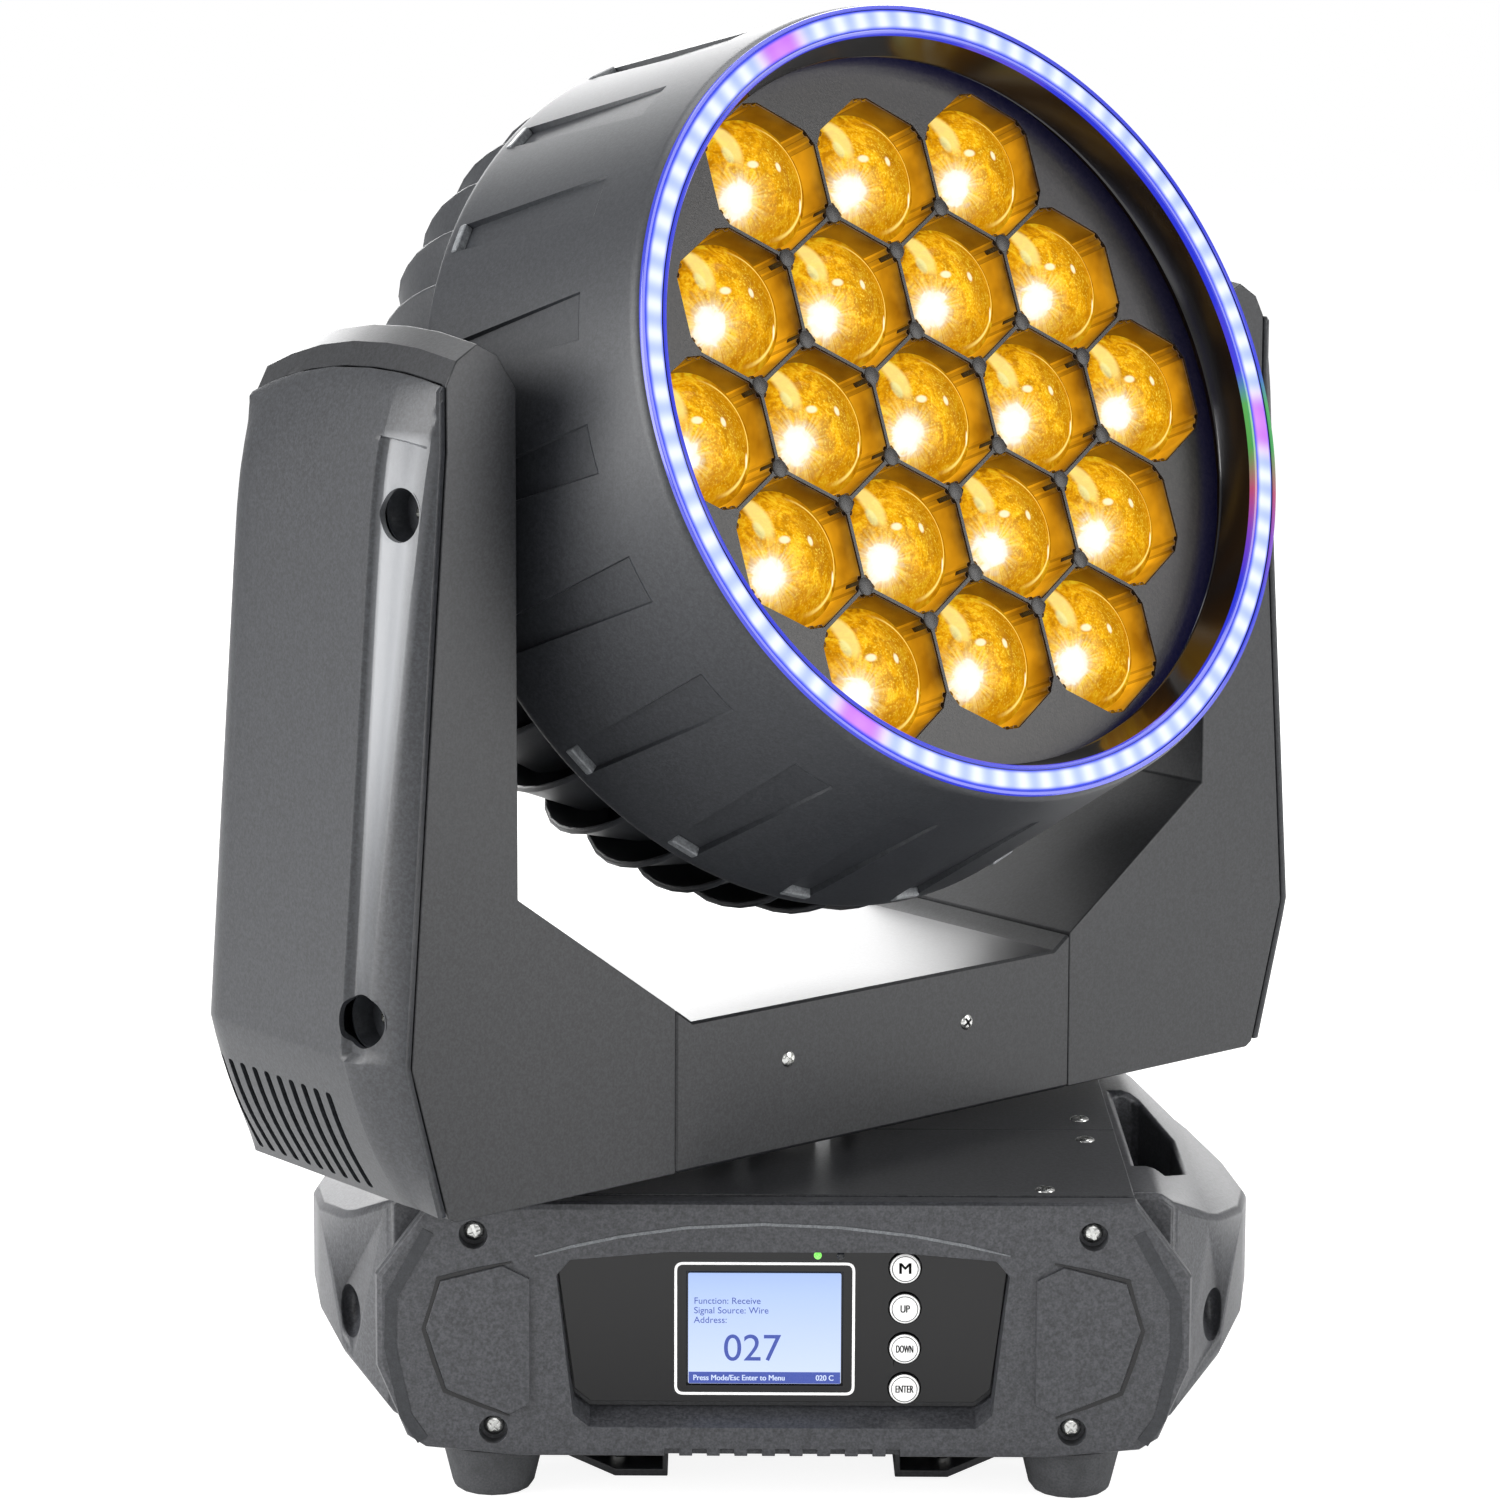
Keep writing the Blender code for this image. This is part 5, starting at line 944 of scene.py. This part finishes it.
# lens: a dome with a flange, and the cone under it
meshData = bmesh.new()
layer = meshData.loops.layers.uv.new("wrap")
radius = carriage["lens"]
sphere = (radius ** 2 + carriage["dome"] ** 2) / (2 * carriage["dome"])
half = math.asin((radius - 1.6) / sphere)
rim = carriage["rim"]
lensProfile = []
for i in range(13):
    a = half * i / 12
    lensProfile.append((sphere * math.sin(a), rim + 0.7 + sphere * (math.cos(a) - math.cos(half))))
lensProfile += [(radius - 1.3, rim + 0.1), (radius - 0.4, rim), (radius, rim - 0.5), (radius, rim - 3.0),
                (0.0, rim - 7.0)]
sides = 56
rings = []
for r, z in lensProfile:
    rings.append([meshData.verts.new((r * mm * math.cos(2 * math.pi * i / sides),
                                      r * mm * math.sin(2 * math.pi * i / sides), z * mm))
                  for i in range(sides)])
for one, other in zip(rings, rings[1:]):
    for i in range(sides):
        j = (i + 1) % sides
        meshData.faces.new((one[i], other[i], other[j], one[j]))
bmesh.ops.remove_doubles(meshData, verts=meshData.verts, dist=1e-7)
bmesh.ops.recalc_face_normals(meshData, faces=meshData.faces)
for face in meshData.faces:
    for loop in face.loops:
        point = loop.vert.co
        loop[layer].uv = (0.5 + point.x / mm / radius / 2, 0.5 + point.y / mm / radius / 2)
lensPattern = pieceFromBmesh("lensPattern", meshData, lensAcrylic, angle=60.0)
lenses = setOnPoints("zoomLenses", lensPattern, atLenses, lensAcrylic, headFrame)
putAway(lensPattern)
settle(lenses, "lens_carriage", "amber", *[f"lens_{i:02d}" for i in range(1, 20)])

# round bosses where three cups meet
meshData = bmesh.new()
revolve(meshData, [(0, 93.75), (2.6, 93.75), (3.3, 93.5), (3.5, 93.0), (3.5, 86.0), (0, 86.0)], 24,
        closed=False)
bossPattern = pieceFromBmesh("bossPattern", meshData, plateAbs)
cupsAt = {}
for x, y in lensPlaces():
    for i in range(6):
        a = math.pi / 6 + i * math.pi / 3
        px = x + math.cos(a) * carriage["pitch"] / math.sqrt(3)
        py = y + math.sin(a) * carriage["pitch"] / math.sqrt(3)
        key = (round(px, 1), round(py, 1))
        cupsAt[key] = cupsAt.get(key, 0) + 1
bossPlaces = [((x, y, 0), upright, 0) for (x, y), shared in sorted(cupsAt.items()) if shared == 3]
bosses = setOnPoints("cellBosses", bossPattern, bossPlaces, plateAbs, headFrame)
putAway(bossPattern)
settle(bosses, "lens_carriage", "abs")
print("lenses ready")

# ---- yoke: CAD shapes with broken edges

for node, name in (("yoke_crossbar", "crossbar"), ("left_arm_frame", "leftArm"), ("right_arm_frame", "rightArm")):
    settle(cadCopy(node, name, powderCoat, 0.7), "yoke", "powder_coat", node)

# arm covers: a smooth bowed skin with a tapered channel, two screw wells and ten air slots
cover = {"half": 58.3, "bulge": 12.8, "skin": 2.0, "lip": 2.6, "corner": 16.0,
         # heights of the foot, the arm's bend and its shoulder, and how far out the frame's edge is at each
         "foot": 108.0, "bend": 165.0, "shoulder": 383.5,
         "outFoot": 206.0, "outBend": 221.5, "outShoulder": 204.5,
         # how far the rounded top drops towards its edges, from which height and over which stretch
         "drop": 7.9, "dropFrom": 329.0, "dropOver": 55.0, "ridge": -19.0,
         "channel": 3.2, "channelEnds": [(166.0, 0.0), (169.0, 1.0), (387.6, 1.0), (388.6, 0.0)],
         "channelFoot": 166.0, "channelLength": 222.0, "channelRear": -36.2, "channelFront": (-44.0, -56.0),
         "wellRadius": 9.6, "wellWall": 0.7, "wellDepth": 11.5, "wells": [(-45.0, 361.0), (-41.0, 181.0)],
         "slots": 10, "slotPitch": 7.8, "slotWidth": 3.4, "firstSlot": 51.0, "slotHalf": 21,
         "slotsAt": (222, 131),
         "bow": [(109.0, 0.2), (115.0, 0.38), (121.0, 0.54), (129.0, 0.72), (138.0, 0.86), (150.0, 0.95),
                 (166.0, 0.99), (190.0, 1.0), (340.0, 1.0), (362.0, 0.98), (376.0, 0.93), (384.0, 0.86),
                 (391.0, 0.74), (398.0, 0.56), (404.0, 0.38), (408.2, 0.2), (409.7, 0.1)],
         "levels": [109.0, 109.0, 111.0, 114.0, 118.0, 123.0, 128.0, 134.0, 141.0, 150.0, 158.0, 166.0, 167.2,
                    169.0, 171.0, 190.0, 215.0, 240.0, 265.0, 290.0, 315.0, 335.0, 350.0, 362.0, 370.0, 378.0,
                    383.0, 386.5, 387.6, 388.6, 389.8, 392.5, 395.5, 398.5, 401.5, 404.0, 406.3, 408.2, 409.7,
                    409.7]}


def between(table, place):
    # linear reading of a table of (place, value)
    for (p1, v1), (p2, v2) in zip(table, table[1:]):
        if place <= p2:
            return v1 + (v2 - v1) * max(place - p1, 0.0) / (p2 - p1)
    return table[-1][1]


def coverEdge(z):
    # how far out the arm's frame ends and its cover starts
    if z >= cover["bend"]:
        fall = (cover["shoulder"] - min(z, cover["shoulder"])) / (cover["shoulder"] - cover["bend"])
        return cover["outShoulder"] + (cover["outBend"] - cover["outShoulder"]) * fall
    rise = (max(z, cover["foot"]) - cover["foot"]) / (cover["bend"] - cover["foot"])
    return cover["outFoot"] + (cover["outBend"] - cover["outFoot"]) * rise


def domeDrop(y, z):
    upThere = min(max((z - cover["dropFrom"]) / cover["dropOver"], 0.0), 1.0)
    return cover["drop"] * abs((y - cover["ridge"]) / cover["half"]) ** 2.2 * upThere


def coverRow(z):
    # (y, how far out) from the rear edge to the front edge
    swell = between(cover["bow"], z) * cover["bulge"]
    lip = min(swell, cover["lip"])
    half = cover["half"]
    floorOut = swell - cover["channel"] * between(cover["channelEnds"], z)
    slide = min(max((z - cover["channelFoot"]) / cover["channelLength"], 0.0), 1.0)
    rearEdge = cover["channelRear"]
    frontEdge = cover["channelFront"][0] + (cover["channelFront"][1] - cover["channelFront"][0]) * slide
    frontOut = min(swell * (0.80 - 0.28 * slide), floorOut)
    row = [(half, 0.0), (half, lip)]
    for k in range(1, 7):
        a = math.pi / 2 * k / 6
        row.append((half - cover["corner"] * (1 - math.cos(a)), lip + (swell - lip) * math.sin(a)))
    row += [(28.0, swell), (8.0, swell), (-14.0, swell), (-30.0, swell), (-33.2, swell),
            (-33.9, swell - (swell - floorOut) * 0.12), (-35.6, floorOut + (swell - floorOut) * 0.1),
            (rearEdge, floorOut)]
    row += [((rearEdge + frontEdge) / 2, (floorOut + frontOut) / 2),
            (frontEdge + 0.9, frontOut + (floorOut - frontOut) * 0.9 / (rearEdge - frontEdge)),
            (frontEdge - 0.4, frontOut - 0.25)]
    last = (-half + 0.7, lip + 0.5)
    row += [((frontEdge - 0.4 + last[0]) / 2, (frontOut - 0.25 + last[1]) / 2), last, (-half, lip - 0.2),
            (-half, 0.0)]
    return row


def coverSkin(side, name):
    # the bowed sheet of one cover; its first and last rows lie on the frame's edge
    meshData = bmesh.new()
    rows = []
    for i, z in enumerate(cover["levels"]):
        row = []
        for y, out in coverRow(z):
            height = z - domeDrop(y, z)
            flush = 0.0 if i in (0, len(cover["levels"]) - 1) else out
            row.append(meshData.verts.new((side * (coverEdge(height) + flush) * mm, y * mm, height * mm)))
        rows.append(row)
    for one, other in zip(rows, rows[1:]):
        for a in range(len(one) - 1):
            meshData.faces.new((one[a], one[a + 1], other[a + 1], other[a]))
    bmesh.ops.remove_doubles(meshData, verts=meshData.verts, dist=1e-6)
    bmesh.ops.dissolve_degenerate(meshData, edges=meshData.edges, dist=1e-7)
    bmesh.ops.recalc_face_normals(meshData, faces=meshData.faces)
    if sum(f.normal.x * f.calc_area() for f in meshData.faces) * side < 0:
        bmesh.ops.reverse_faces(meshData, faces=meshData.faces)
    piece = pieceFromBmesh(name, meshData, coverAbs, angle=28.0)
    skin = piece.modifiers.new("skin", "SOLIDIFY")
    skin.thickness = cover["skin"] * mm
    skin.offset = -1.0
    return piece


def coverOpenings(side):
    # a cutter for the screw wells and the air slots of one cover
    cutters = bmesh.new()
    for y, z in cover["wells"]:
        place = Matrix.Translation((side * (coverEdge(z) + 6.0) * mm, y * mm, z * mm))
        bmesh.ops.create_cone(cutters, cap_ends=True, segments=48, radius1=cover["wellRadius"] * mm,
                              radius2=cover["wellRadius"] * mm, depth=30 * mm,
                              matrix=place @ Matrix.Rotation(math.pi / 2, 4, "Y"))
    lean = math.atan2(cover["outBend"] - cover["outFoot"], cover["bend"] - cover["foot"])
    out, up = cover["slotsAt"]
    outward = Matrix(((0, 0, side, 0), (1, 0, 0, 0), (0, 1, 0, 0), (0, 0, 0, 1)))
    place = Matrix.Translation((side * out * mm, 0, up * mm)) @ Matrix.Rotation(side * lean, 4, "Y") @ outward
    width, long = cover["slotWidth"] / 2, cover["slotHalf"]
    for i in range(cover["slots"]):
        y = cover["firstSlot"] - i * cover["slotPitch"]
        slot = bmesh.new()
        slab(slot, rounded([(y - width, -long), (y + width, -long), (y + width, long), (y - width, long)],
                           width * 0.95, 4), -8, 16)
        bmesh.ops.transform(slot, matrix=place, verts=slot.verts)
        bmesh.ops.recalc_face_normals(slot, faces=slot.faces)
        joinInto(cutters, slot)
    return pieceFromBmesh("coverCutter", cutters, None, flat=True)


def makeCover(side, node, name):
    # one cover with the cups of its screw wells; gives the places of the two screws
    piece = coverSkin(side, name)
    cutter = coverOpenings(side)
    cutAway(piece, cutter, "openings", meetsItself=True)
    putAway(cutter)
    piece.data.transform(yokeFrame)
    settle(piece, "yoke", "abs", node)
    wells = bmesh.new()
    screws = []
    radius, wall = cover["wellRadius"], cover["wellWall"]
    for y, z in cover["wells"]:
        swell = between(cover["bow"], z) * cover["bulge"] - cover["channel"]
        mouth = coverEdge(z) + swell * 0.86 - 1.6
        seat = coverEdge(z) + swell - cover["wellDepth"]
        cup = bmesh.new()
        revolve(cup, [(0, seat), (radius, seat), (radius, mouth), (radius + wall, mouth),
                      (radius + wall, seat - 0.8), (0, seat - 0.8)], 48, closed=False)
        place = Matrix.Translation((0, y * mm, z * mm)) @ Matrix.Rotation(side * math.pi / 2, 4, "Y")
        bmesh.ops.transform(cup, matrix=place, verts=cup.verts)
        joinInto(wells, cup)
        screws.append(((side * (seat + 1.0), y, z), (side, 0, 0), 25 + z % 40))
    settle(pieceFromBmesh(name + "Wells", wells, fineAbs, yokeFrame), "yoke", "abs")
    return screws


coverScrews = makeCover(-1, "left_arm_cover", "leftArmCover")
coverScrews += makeCover(1, "right_arm_cover", "rightArmCover")
print("yoke ready")

# ---- base: CAD shapes with broken edges

handle = {"dent": (164.5, -68.0, 40.0), "dentSize": (5.2, 13.0, 10.5)}
bracket = {"top": 0.7, "stretch": 1.42}


def fingerRecess(piece, side):
    # an oval hollow in the front end of a handle
    meshData = bmesh.new()
    bmesh.ops.create_uvsphere(meshData, u_segments=32, v_segments=20, radius=1.0)
    x, y, z = handle["dent"]
    size = Matrix.Diagonal((*[v * mm for v in handle["dentSize"]], 1))
    bmesh.ops.transform(meshData, matrix=Matrix.Translation((side * x * mm, y * mm, z * mm)) @ size,
                        verts=meshData.verts)
    dentCutter = pieceFromBmesh("dentCutter", meshData, None)
    cutAway(piece, dentCutter, "recess")
    putAway(dentCutter)


for node, name, material, slotName, width in (
        ("front_panel", "frontPanel", grainedAbs, "abs", 0.5),
        ("rear_panel", "rearPanel", grainedAbs, "abs", 0.5),
        ("left_handle", "leftHandle", grainedAbs, "abs", 1.5),
        ("right_handle", "rightHandle", grainedAbs, "abs", 1.5),
        ("base_tray", "baseTray", powderCoat, "powder_coat", 0.4),
        # the top plates take the paler coat: painted light on their upward faces
        ("front_top_plate", "frontTopPlate", paintedLightCoat, "powder_coat", 0.3),
        ("rear_top_plate", "rearTopPlate", paintedLightCoat, "powder_coat", 0.3),
        ("display_insert", "displayFilm", blackAcrylic, "gloss", 0.2),
        ("front_left_foot", "frontLeftFoot", footRubber, "rubber", 0.8),
        ("front_right_foot", "frontRightFoot", footRubber, "rubber", 0.8),
        ("rear_left_foot", "rearLeftFoot", footRubber, "rubber", 0.8),
        ("rear_right_foot", "rearRightFoot", footRubber, "rubber", 0.8)):
    piece = cadCopy(node, name, material, width, 2, 28.0)
    if "handle" in node:
        fingerRecess(piece, -1 if "left" in node else 1)
    settle(piece, "base", slotName, node)

# brackets and their quarter-turn studs hang lower than their solids, as low as they are seen
for name, node, bodyName, material, slotName, width in (
        ("leftBracket", "left_omega_bracket", "base", powderCoat, "powder_coat", 0.4),
        ("rightBracket", "right_omega_bracket", "base", powderCoat, "powder_coat", 0.4),
        ("frontLeftStud", "front_left_stud", "front_left_lock", zincSteel, "steel", 0.2),
        ("frontRightStud", "front_right_stud", "front_right_lock", zincSteel, "steel", 0.2),
        ("rearLeftStud", "rear_left_stud", "rear_left_lock", zincSteel, "steel", 0.2),
        ("rearRightStud", "rear_right_stud", "rear_right_lock", zincSteel, "steel", 0.2)):
    piece = cadCopy(node, name, material, width, 2, 28.0)
    top = bracket["top"] * mm
    for vertex in piece.data.vertices:
        vertex.co.z = top - (top - vertex.co.z) * bracket["stretch"]
    settle(piece, bodyName, slotName, node)

# thin strips on the front panel's face, at y = -116: painted shade in the grooves round its pads, painted shade
# bands at its ends in the barrel's darker plastic, and a painted highlight along the crease over the display
panelFace = 116.0
panelLines = (
    ("padGrooves", blackInkAndGrooveShade, 1.7, 116.35, [
        (100.5, 74.2), (115.0, 70.9), (128.0, 67.6), (130.4, 58.0), (133.4, 48.6), (129.8, 36.0), (125.8, 24.6),
        (113.0, 19.4), (101.5, 14.9)]),
    ("edgeBands", fineAbs, 4.6, 116.2, [
        (131.5, 86.0), (145.4, 60.5), (145.9, 41.5), (140.4, 15.0), (134.0, 5.5)]),
    ("archLine", paintedHighlightAbs, 1.1, 116.3, [
        (-92.0, 76.5), (-78.0, 80.3), (-60.0, 84.2), (-36.0, 87.6), (-7.5, 89.0), (21.0, 87.9), (48.0, 84.8),
        (68.0, 81.0), (84.0, 77.2)]))


def ribbon(meshData, line, width, low, high, thinEnds=False):
    # a flat band along a line of (x, z) points
    line = [Vector(point) for point in line]
    edges = ([], [])
    for i, point in enumerate(line):
        along = (line[min(i + 1, len(line) - 1)] - line[max(i - 1, 0)]).normalized()
        wide = width / 2 * (0.35 if thinEnds and i in (0, len(line) - 1) else 1.0)
        away = Vector((-along.y, along.x)) * wide
        edges[0].append(point + away)
        edges[1].append(point - away)
    slab(meshData, edges[0] + edges[1][::-1], low, high)


frontFacing = Matrix(((1, 0, 0, 0), (0, 0, -1, 0), (0, 1, 0, 0), (0, 0, 0, 1)))   # (x, z, out of the panel)
for name, material, width, high, line in panelLines:
    meshData = bmesh.new()
    for side in (-1, 1) if name != "archLine" else (1,):
        ribbon(meshData, [(side * x, z) for x, z in line], width, panelFace, high, name != "edgeBands")
    settle(pieceFromBmesh(name, meshData, material, frontFacing, flat=True), "base", "abs")

# CAD solids whose shape is right as it is get their real finish
for node, material in (("lcd_screen", darkEpoxy), ("menu_button", blackInkAndGrooveShade), ("up_button", blackInkAndGrooveShade),
                       ("down_button", blackInkAndGrooveShade), ("enter_button", blackInkAndGrooveShade), ("pan_motor", motorSteel),
                       ("tilt_motor", motorSteel), ("pan_belt", footRubber), ("tilt_belt", footRubber),
                       ("pan_drive_pulley", zincSteel), ("tilt_drive_pulley", zincSteel),
                       ("pan_spindle", turnedSteel), ("head_frame", castAluminium)):
    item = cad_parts[node]
    for slotItem in item.material_slots:
        slotItem.material = material
print("base ready")

# ---- display: picture, printed frame, words and button faces

# x and z on the panel; film is how far out the film's face lies
display = {"screen": (-6.7, 46.2), "size": (57.6, 43.2), "frameSize": (67.3, 51.3), "line": 1.0, "corner": 3.4,
           "film": 107.2, "buttonX": 45.5, "buttonTop": 70.0, "pitch": 15.5}


def box2d(centre, size):
    (x, z), (w, h) = centre, size
    return [(x - w / 2, z - h / 2), (x + w / 2, z - h / 2), (x + w / 2, z + h / 2), (x - w / 2, z + h / 2)]


meshData = bmesh.new()
layer = meshData.loops.layers.uv.new("wrap")
(cx, cz), (w, h) = display["screen"], display["size"]
slab(meshData, rounded(box2d(display["screen"], (w - 0.6, h - 0.6)), 0.6, 2), 106.6, 107.15)
for face in meshData.faces:
    for loop in face.loops:
        loop[layer].uv = ((loop.vert.co.x / mm - cx) / w + 0.5, (loop.vert.co.y / mm - cz) / h + 0.5)
settle(pieceFromBmesh("screenPicture", meshData, liquidCrystal, frontFacing), "base", "screen", "lcd_screen")

# printed frame: white ink with a painted glow
meshData = bmesh.new()
outer = rounded(box2d(display["screen"], display["frameSize"]), display["corner"], 6)
inner = rounded(box2d(display["screen"], [v - 2 * display["line"] for v in display["frameSize"]]),
                display["corner"] - display["line"], 6)
film, inkTop = display["film"], display["film"] + 0.22
rings = [[meshData.verts.new((p[0] * mm, p[1] * mm, level * mm)) for p in outline]
         for outline, level in ((outer, film), (outer, inkTop), (inner, inkTop), (inner, film))]
bridge(meshData, rings + rings[:1])
bmesh.ops.recalc_face_normals(meshData, faces=meshData.faces)
settle(pieceFromBmesh("screenFrame", meshData, whiteInkPaintedGlow, frontFacing), "base", "white")

meshData = bmesh.new()
slab(meshData, box2d((cx, cz - h / 2 + 2.6), (w - 1.0, 4.4)), 107.1, 107.22)
settle(pieceFromBmesh("screenBar", meshData, crystalBlue, frontFacing), "base", "screen")


def lettering(name, text, sizeMm, centre, out, material, place, align="CENTER", bold=0.0, fit=0.0):
    # raised letters, out mm in front of the origin plane of the panel
    curve = bpy.data.curves.new(name, "FONT")
    curve.body = text
    curve.size = sizeMm * mm
    curve.align_x = align
    curve.align_y = "CENTER"
    curve.extrude = 0.06 * mm
    holder = bpy.data.objects.new(name, curve)
    partsShelf.objects.link(holder)
    graph = bpy.context.evaluated_depsgraph_get()
    mesh = bpy.data.meshes.new_from_object(holder.evaluated_get(graph))
    bpy.data.objects.remove(holder, do_unlink=True)
    across = [v.co.x for v in mesh.vertices]
    squeeze = fit * mm / (max(across) - min(across)) if fit else 1.0
    mesh.transform(place @ Matrix.Translation((centre[0] * mm, centre[1] * mm, out * mm))
                   @ Matrix.Diagonal((squeeze, 1, 1, 1)))
    letters = bmesh.new()
    for shift in (-bold, 0.0, bold) if bold else (0.0,):
        # bold letters are three thin ones side by side
        mesh.transform(Matrix.Translation((shift * mm, 0, 0)))
        letters.from_mesh(mesh)
        mesh.transform(Matrix.Translation((-shift * mm, 0, 0)))
    letters.to_mesh(mesh)
    letters.free()
    return pieceFromMesh(name, mesh, material, flat=True)


for name, text, sizeMm, centre, align in (
        ("screenDigits", "027", 14.6, (cx - 4.6, cz - 8.0), "CENTER"),
        ("screenLineA", "Function: Receive", 3.5, (cx - w / 2 + 2.4, cz + 10.6), "LEFT"),
        ("screenLineB", "Signal Source: Wire", 3.5, (cx - w / 2 + 2.4, cz + 6.9), "LEFT"),
        ("screenLineC", "Address:", 3.5, (cx - w / 2 + 2.4, cz + 3.2), "LEFT")):
    settle(lettering(name, text, sizeMm, centre, film, crystalBlue, frontFacing, align), "base", "screen")
for name, text, x, wide in (("barWords", "Press Mode/Esc Enter to Menu", cx - 9.5, 34.0),
                            ("barWarmth", "020 C", cx + 22.5, 6.5)):
    settle(lettering(name, text, 3.0, (x, cz - h / 2 + 2.5), film + 0.1, liquidCrystal, frontFacing, bold=0.08,
                     fit=wide), "base", "screen")

# (body, word, size, width, how far its bold copies are shifted), from the top button down
keys = (("menu_key", "M", 6.0, 4.2, 0.17), ("up_key", "UP", 4.1, 3.4, 0.1), ("down_key", "DOWN", 4.1, 6.3, 0.1),
        ("enter_key", "ENTER", 4.0, 6.6, 0.1))
for i, (bodyName, word, sizeMm, wide, bold) in enumerate(keys):
    z = display["buttonTop"] - i * display["pitch"]
    # button face: white ink with a painted glow
    meshData = bmesh.new()
    revolve(meshData, [(0, 109.2), (4.5, 109.2), (4.7, 109.05), (4.7, 108.6), (0, 108.6)], 40, closed=False)
    revolve(meshData, [(4.95, 108.6), (4.95, 109.12), (5.1, 109.2), (5.35, 109.0), (5.6, 108.6)], 40)
    face = pieceFromBmesh(word.lower() + "ButtonFace", meshData, whiteInkPaintedGlow,
                          frontFacing @ Matrix.Translation((display["buttonX"] * mm, z * mm, 0)))
    settle(face, bodyName, "white")
    settle(lettering(word.lower() + "ButtonWord", word, sizeMm, (display["buttonX"], z), 109.22, blackInkAndGrooveShade,
                     frontFacing, bold=bold, fit=wide), bodyName, "white")

# rear sockets: a nickel ring round a dark insert with three pins
socket = {"x": (-57.0, -19.0, 19.0, 57.0), "z": 44.0, "pins": 3, "pinCircle": 4.5}
rearFacing = Matrix(((-1, 0, 0, 0), (0, 0, 1, 0), (0, 1, 0, 0), (0, 0, 0, 1)))
atSockets = [((x, 0, socket["z"]), upright, 0) for x in socket["x"]]
for name, material, slotName, profile in (
        ("socketRings", nickelPlate, "steel", [(9.3, 107.0), (9.3, 113.0), (9.8, 113.6), (11.0, 113.6),
                                               (11.4, 113.0), (11.4, 107.0)]),
        ("socketInserts", blackInkAndGrooveShade, "gloss", [(0, 110.5), (8.6, 110.5), (9.0, 110.1), (9.0, 106.5),
                                              (0, 106.5)])):
    meshData = bmesh.new()
    revolve(meshData, profile, 48, closed=profile[0][0] > 0)
    socketPattern = pieceFromBmesh(name + "Pattern", meshData, material, rearFacing)
    settle(setOnPoints(name, socketPattern, atSockets, material), "base", slotName)
    putAway(socketPattern)
meshData = bmesh.new()
revolve(meshData, [(0, 110.75), (1.2, 110.75), (1.2, 110.4), (0, 110.4)], 16, closed=False)
pinPattern = pieceFromBmesh("pinPattern", meshData, zincSteel, rearFacing)
pinPlaces = []
for x in socket["x"]:
    for k in range(socket["pins"]):
        a = math.pi / 2 + k * 2 * math.pi / socket["pins"]
        pinPlaces.append(((x + socket["pinCircle"] * math.cos(a), 0,
                           socket["z"] + socket["pinCircle"] * math.sin(a)), upright, 0))
settle(setOnPoints("socketPins", pinPattern, pinPlaces, zincSteel), "base", "steel")
putAway(pinPattern)

# status lamps: low domes above the screen
for name, x, material in (("greenLamp", 13.0, litEpoxy), ("darkLamp", 21.5, darkEpoxy)):
    meshData = bmesh.new()
    revolve(meshData, [(0, 108.6), (0.9, 108.4), (1.4, 107.9), (1.5, 107.2), (0, 107.2)], 20, closed=False)
    settle(pieceFromBmesh(name, meshData, material, frontFacing @ Matrix.Translation((x * mm, 74.6 * mm, 0))),
           "base", "gloss")
print("display ready")

# ---- screws: one countersunk cross-head pattern set on points

meshData = bmesh.new()
revolve(meshData, [(0, 0.9), (1.9, 0.75), (2.8, 0.35), (3.2, -0.1), (3.2, -0.8), (0, -0.8)], 20, closed=False)
screwPattern = pieceFromBmesh("screwPattern", meshData, zincSteel, angle=50.0)
meshData = bmesh.new()
blade = Matrix.Translation((0, 0, 0.9 * mm)) @ Matrix.Diagonal((4.2 * mm, 1.05 * mm, 2.0 * mm, 1))
for quarter in (0, math.pi / 2):
    bmesh.ops.create_cube(meshData, size=1.0, matrix=Matrix.Rotation(quarter, 4, "Z") @ blade)
crossCutter = pieceFromBmesh("crossCutter", meshData, None, flat=True)
cutAway(screwPattern, crossCutter, "cross", meetsItself=True)

screwPlan = {"frontY": -110.2, "onPanel": ((114.8, 84.5, 20), (107.7, 9.5, 50)),
             "plateTop": 97.1, "onPlates": ((118.2, 4.3, 10), (118.1, -26.1, 40), (97.8, -96.4, 70),
                                            (118.2, 92.0, 30)),
             "onCrossbar": (45.6, 58.4, 141.1), "baseSize": 1.22}
front, back = (0, -1, 0), (0, 1, 0)
baseScrews = []
yokeScrews = []
for side in (-1, 1):
    for x, z, spinBy in screwPlan["onPanel"]:
        baseScrews.append(((side * x, screwPlan["frontY"], z), front, spinBy))
        baseScrews.append(((side * x, -screwPlan["frontY"], z), back, spinBy + 15))
    for x, y, spinBy in screwPlan["onPlates"]:
        baseScrews.append(((side * x, y, screwPlan["plateTop"]), upright, spinBy))
    x, y, z = screwPlan["onCrossbar"]
    yokeScrews.append(((side * x, -y, z), front, 35 * side))
    yokeScrews.append(((side * x, y, z), back, 25 * side))
settle(setOnPoints("yokeScrews", screwPattern, yokeScrews, zincSteel, yokeFrame), "yoke", "steel")
settle(setOnPoints("coverScrews", screwPattern, coverScrews, zincSteel, yokeFrame), "yoke", "steel")
screwPattern.data.transform(Matrix.Scale(screwPlan["baseSize"], 4))      # the base has the next size of screw
settle(setOnPoints("baseScrews", screwPattern, baseScrews, zincSteel), "base", "steel")
putAway(screwPattern)
putAway(crossCutter)
putAway(hubCutter)
print("screws ready")
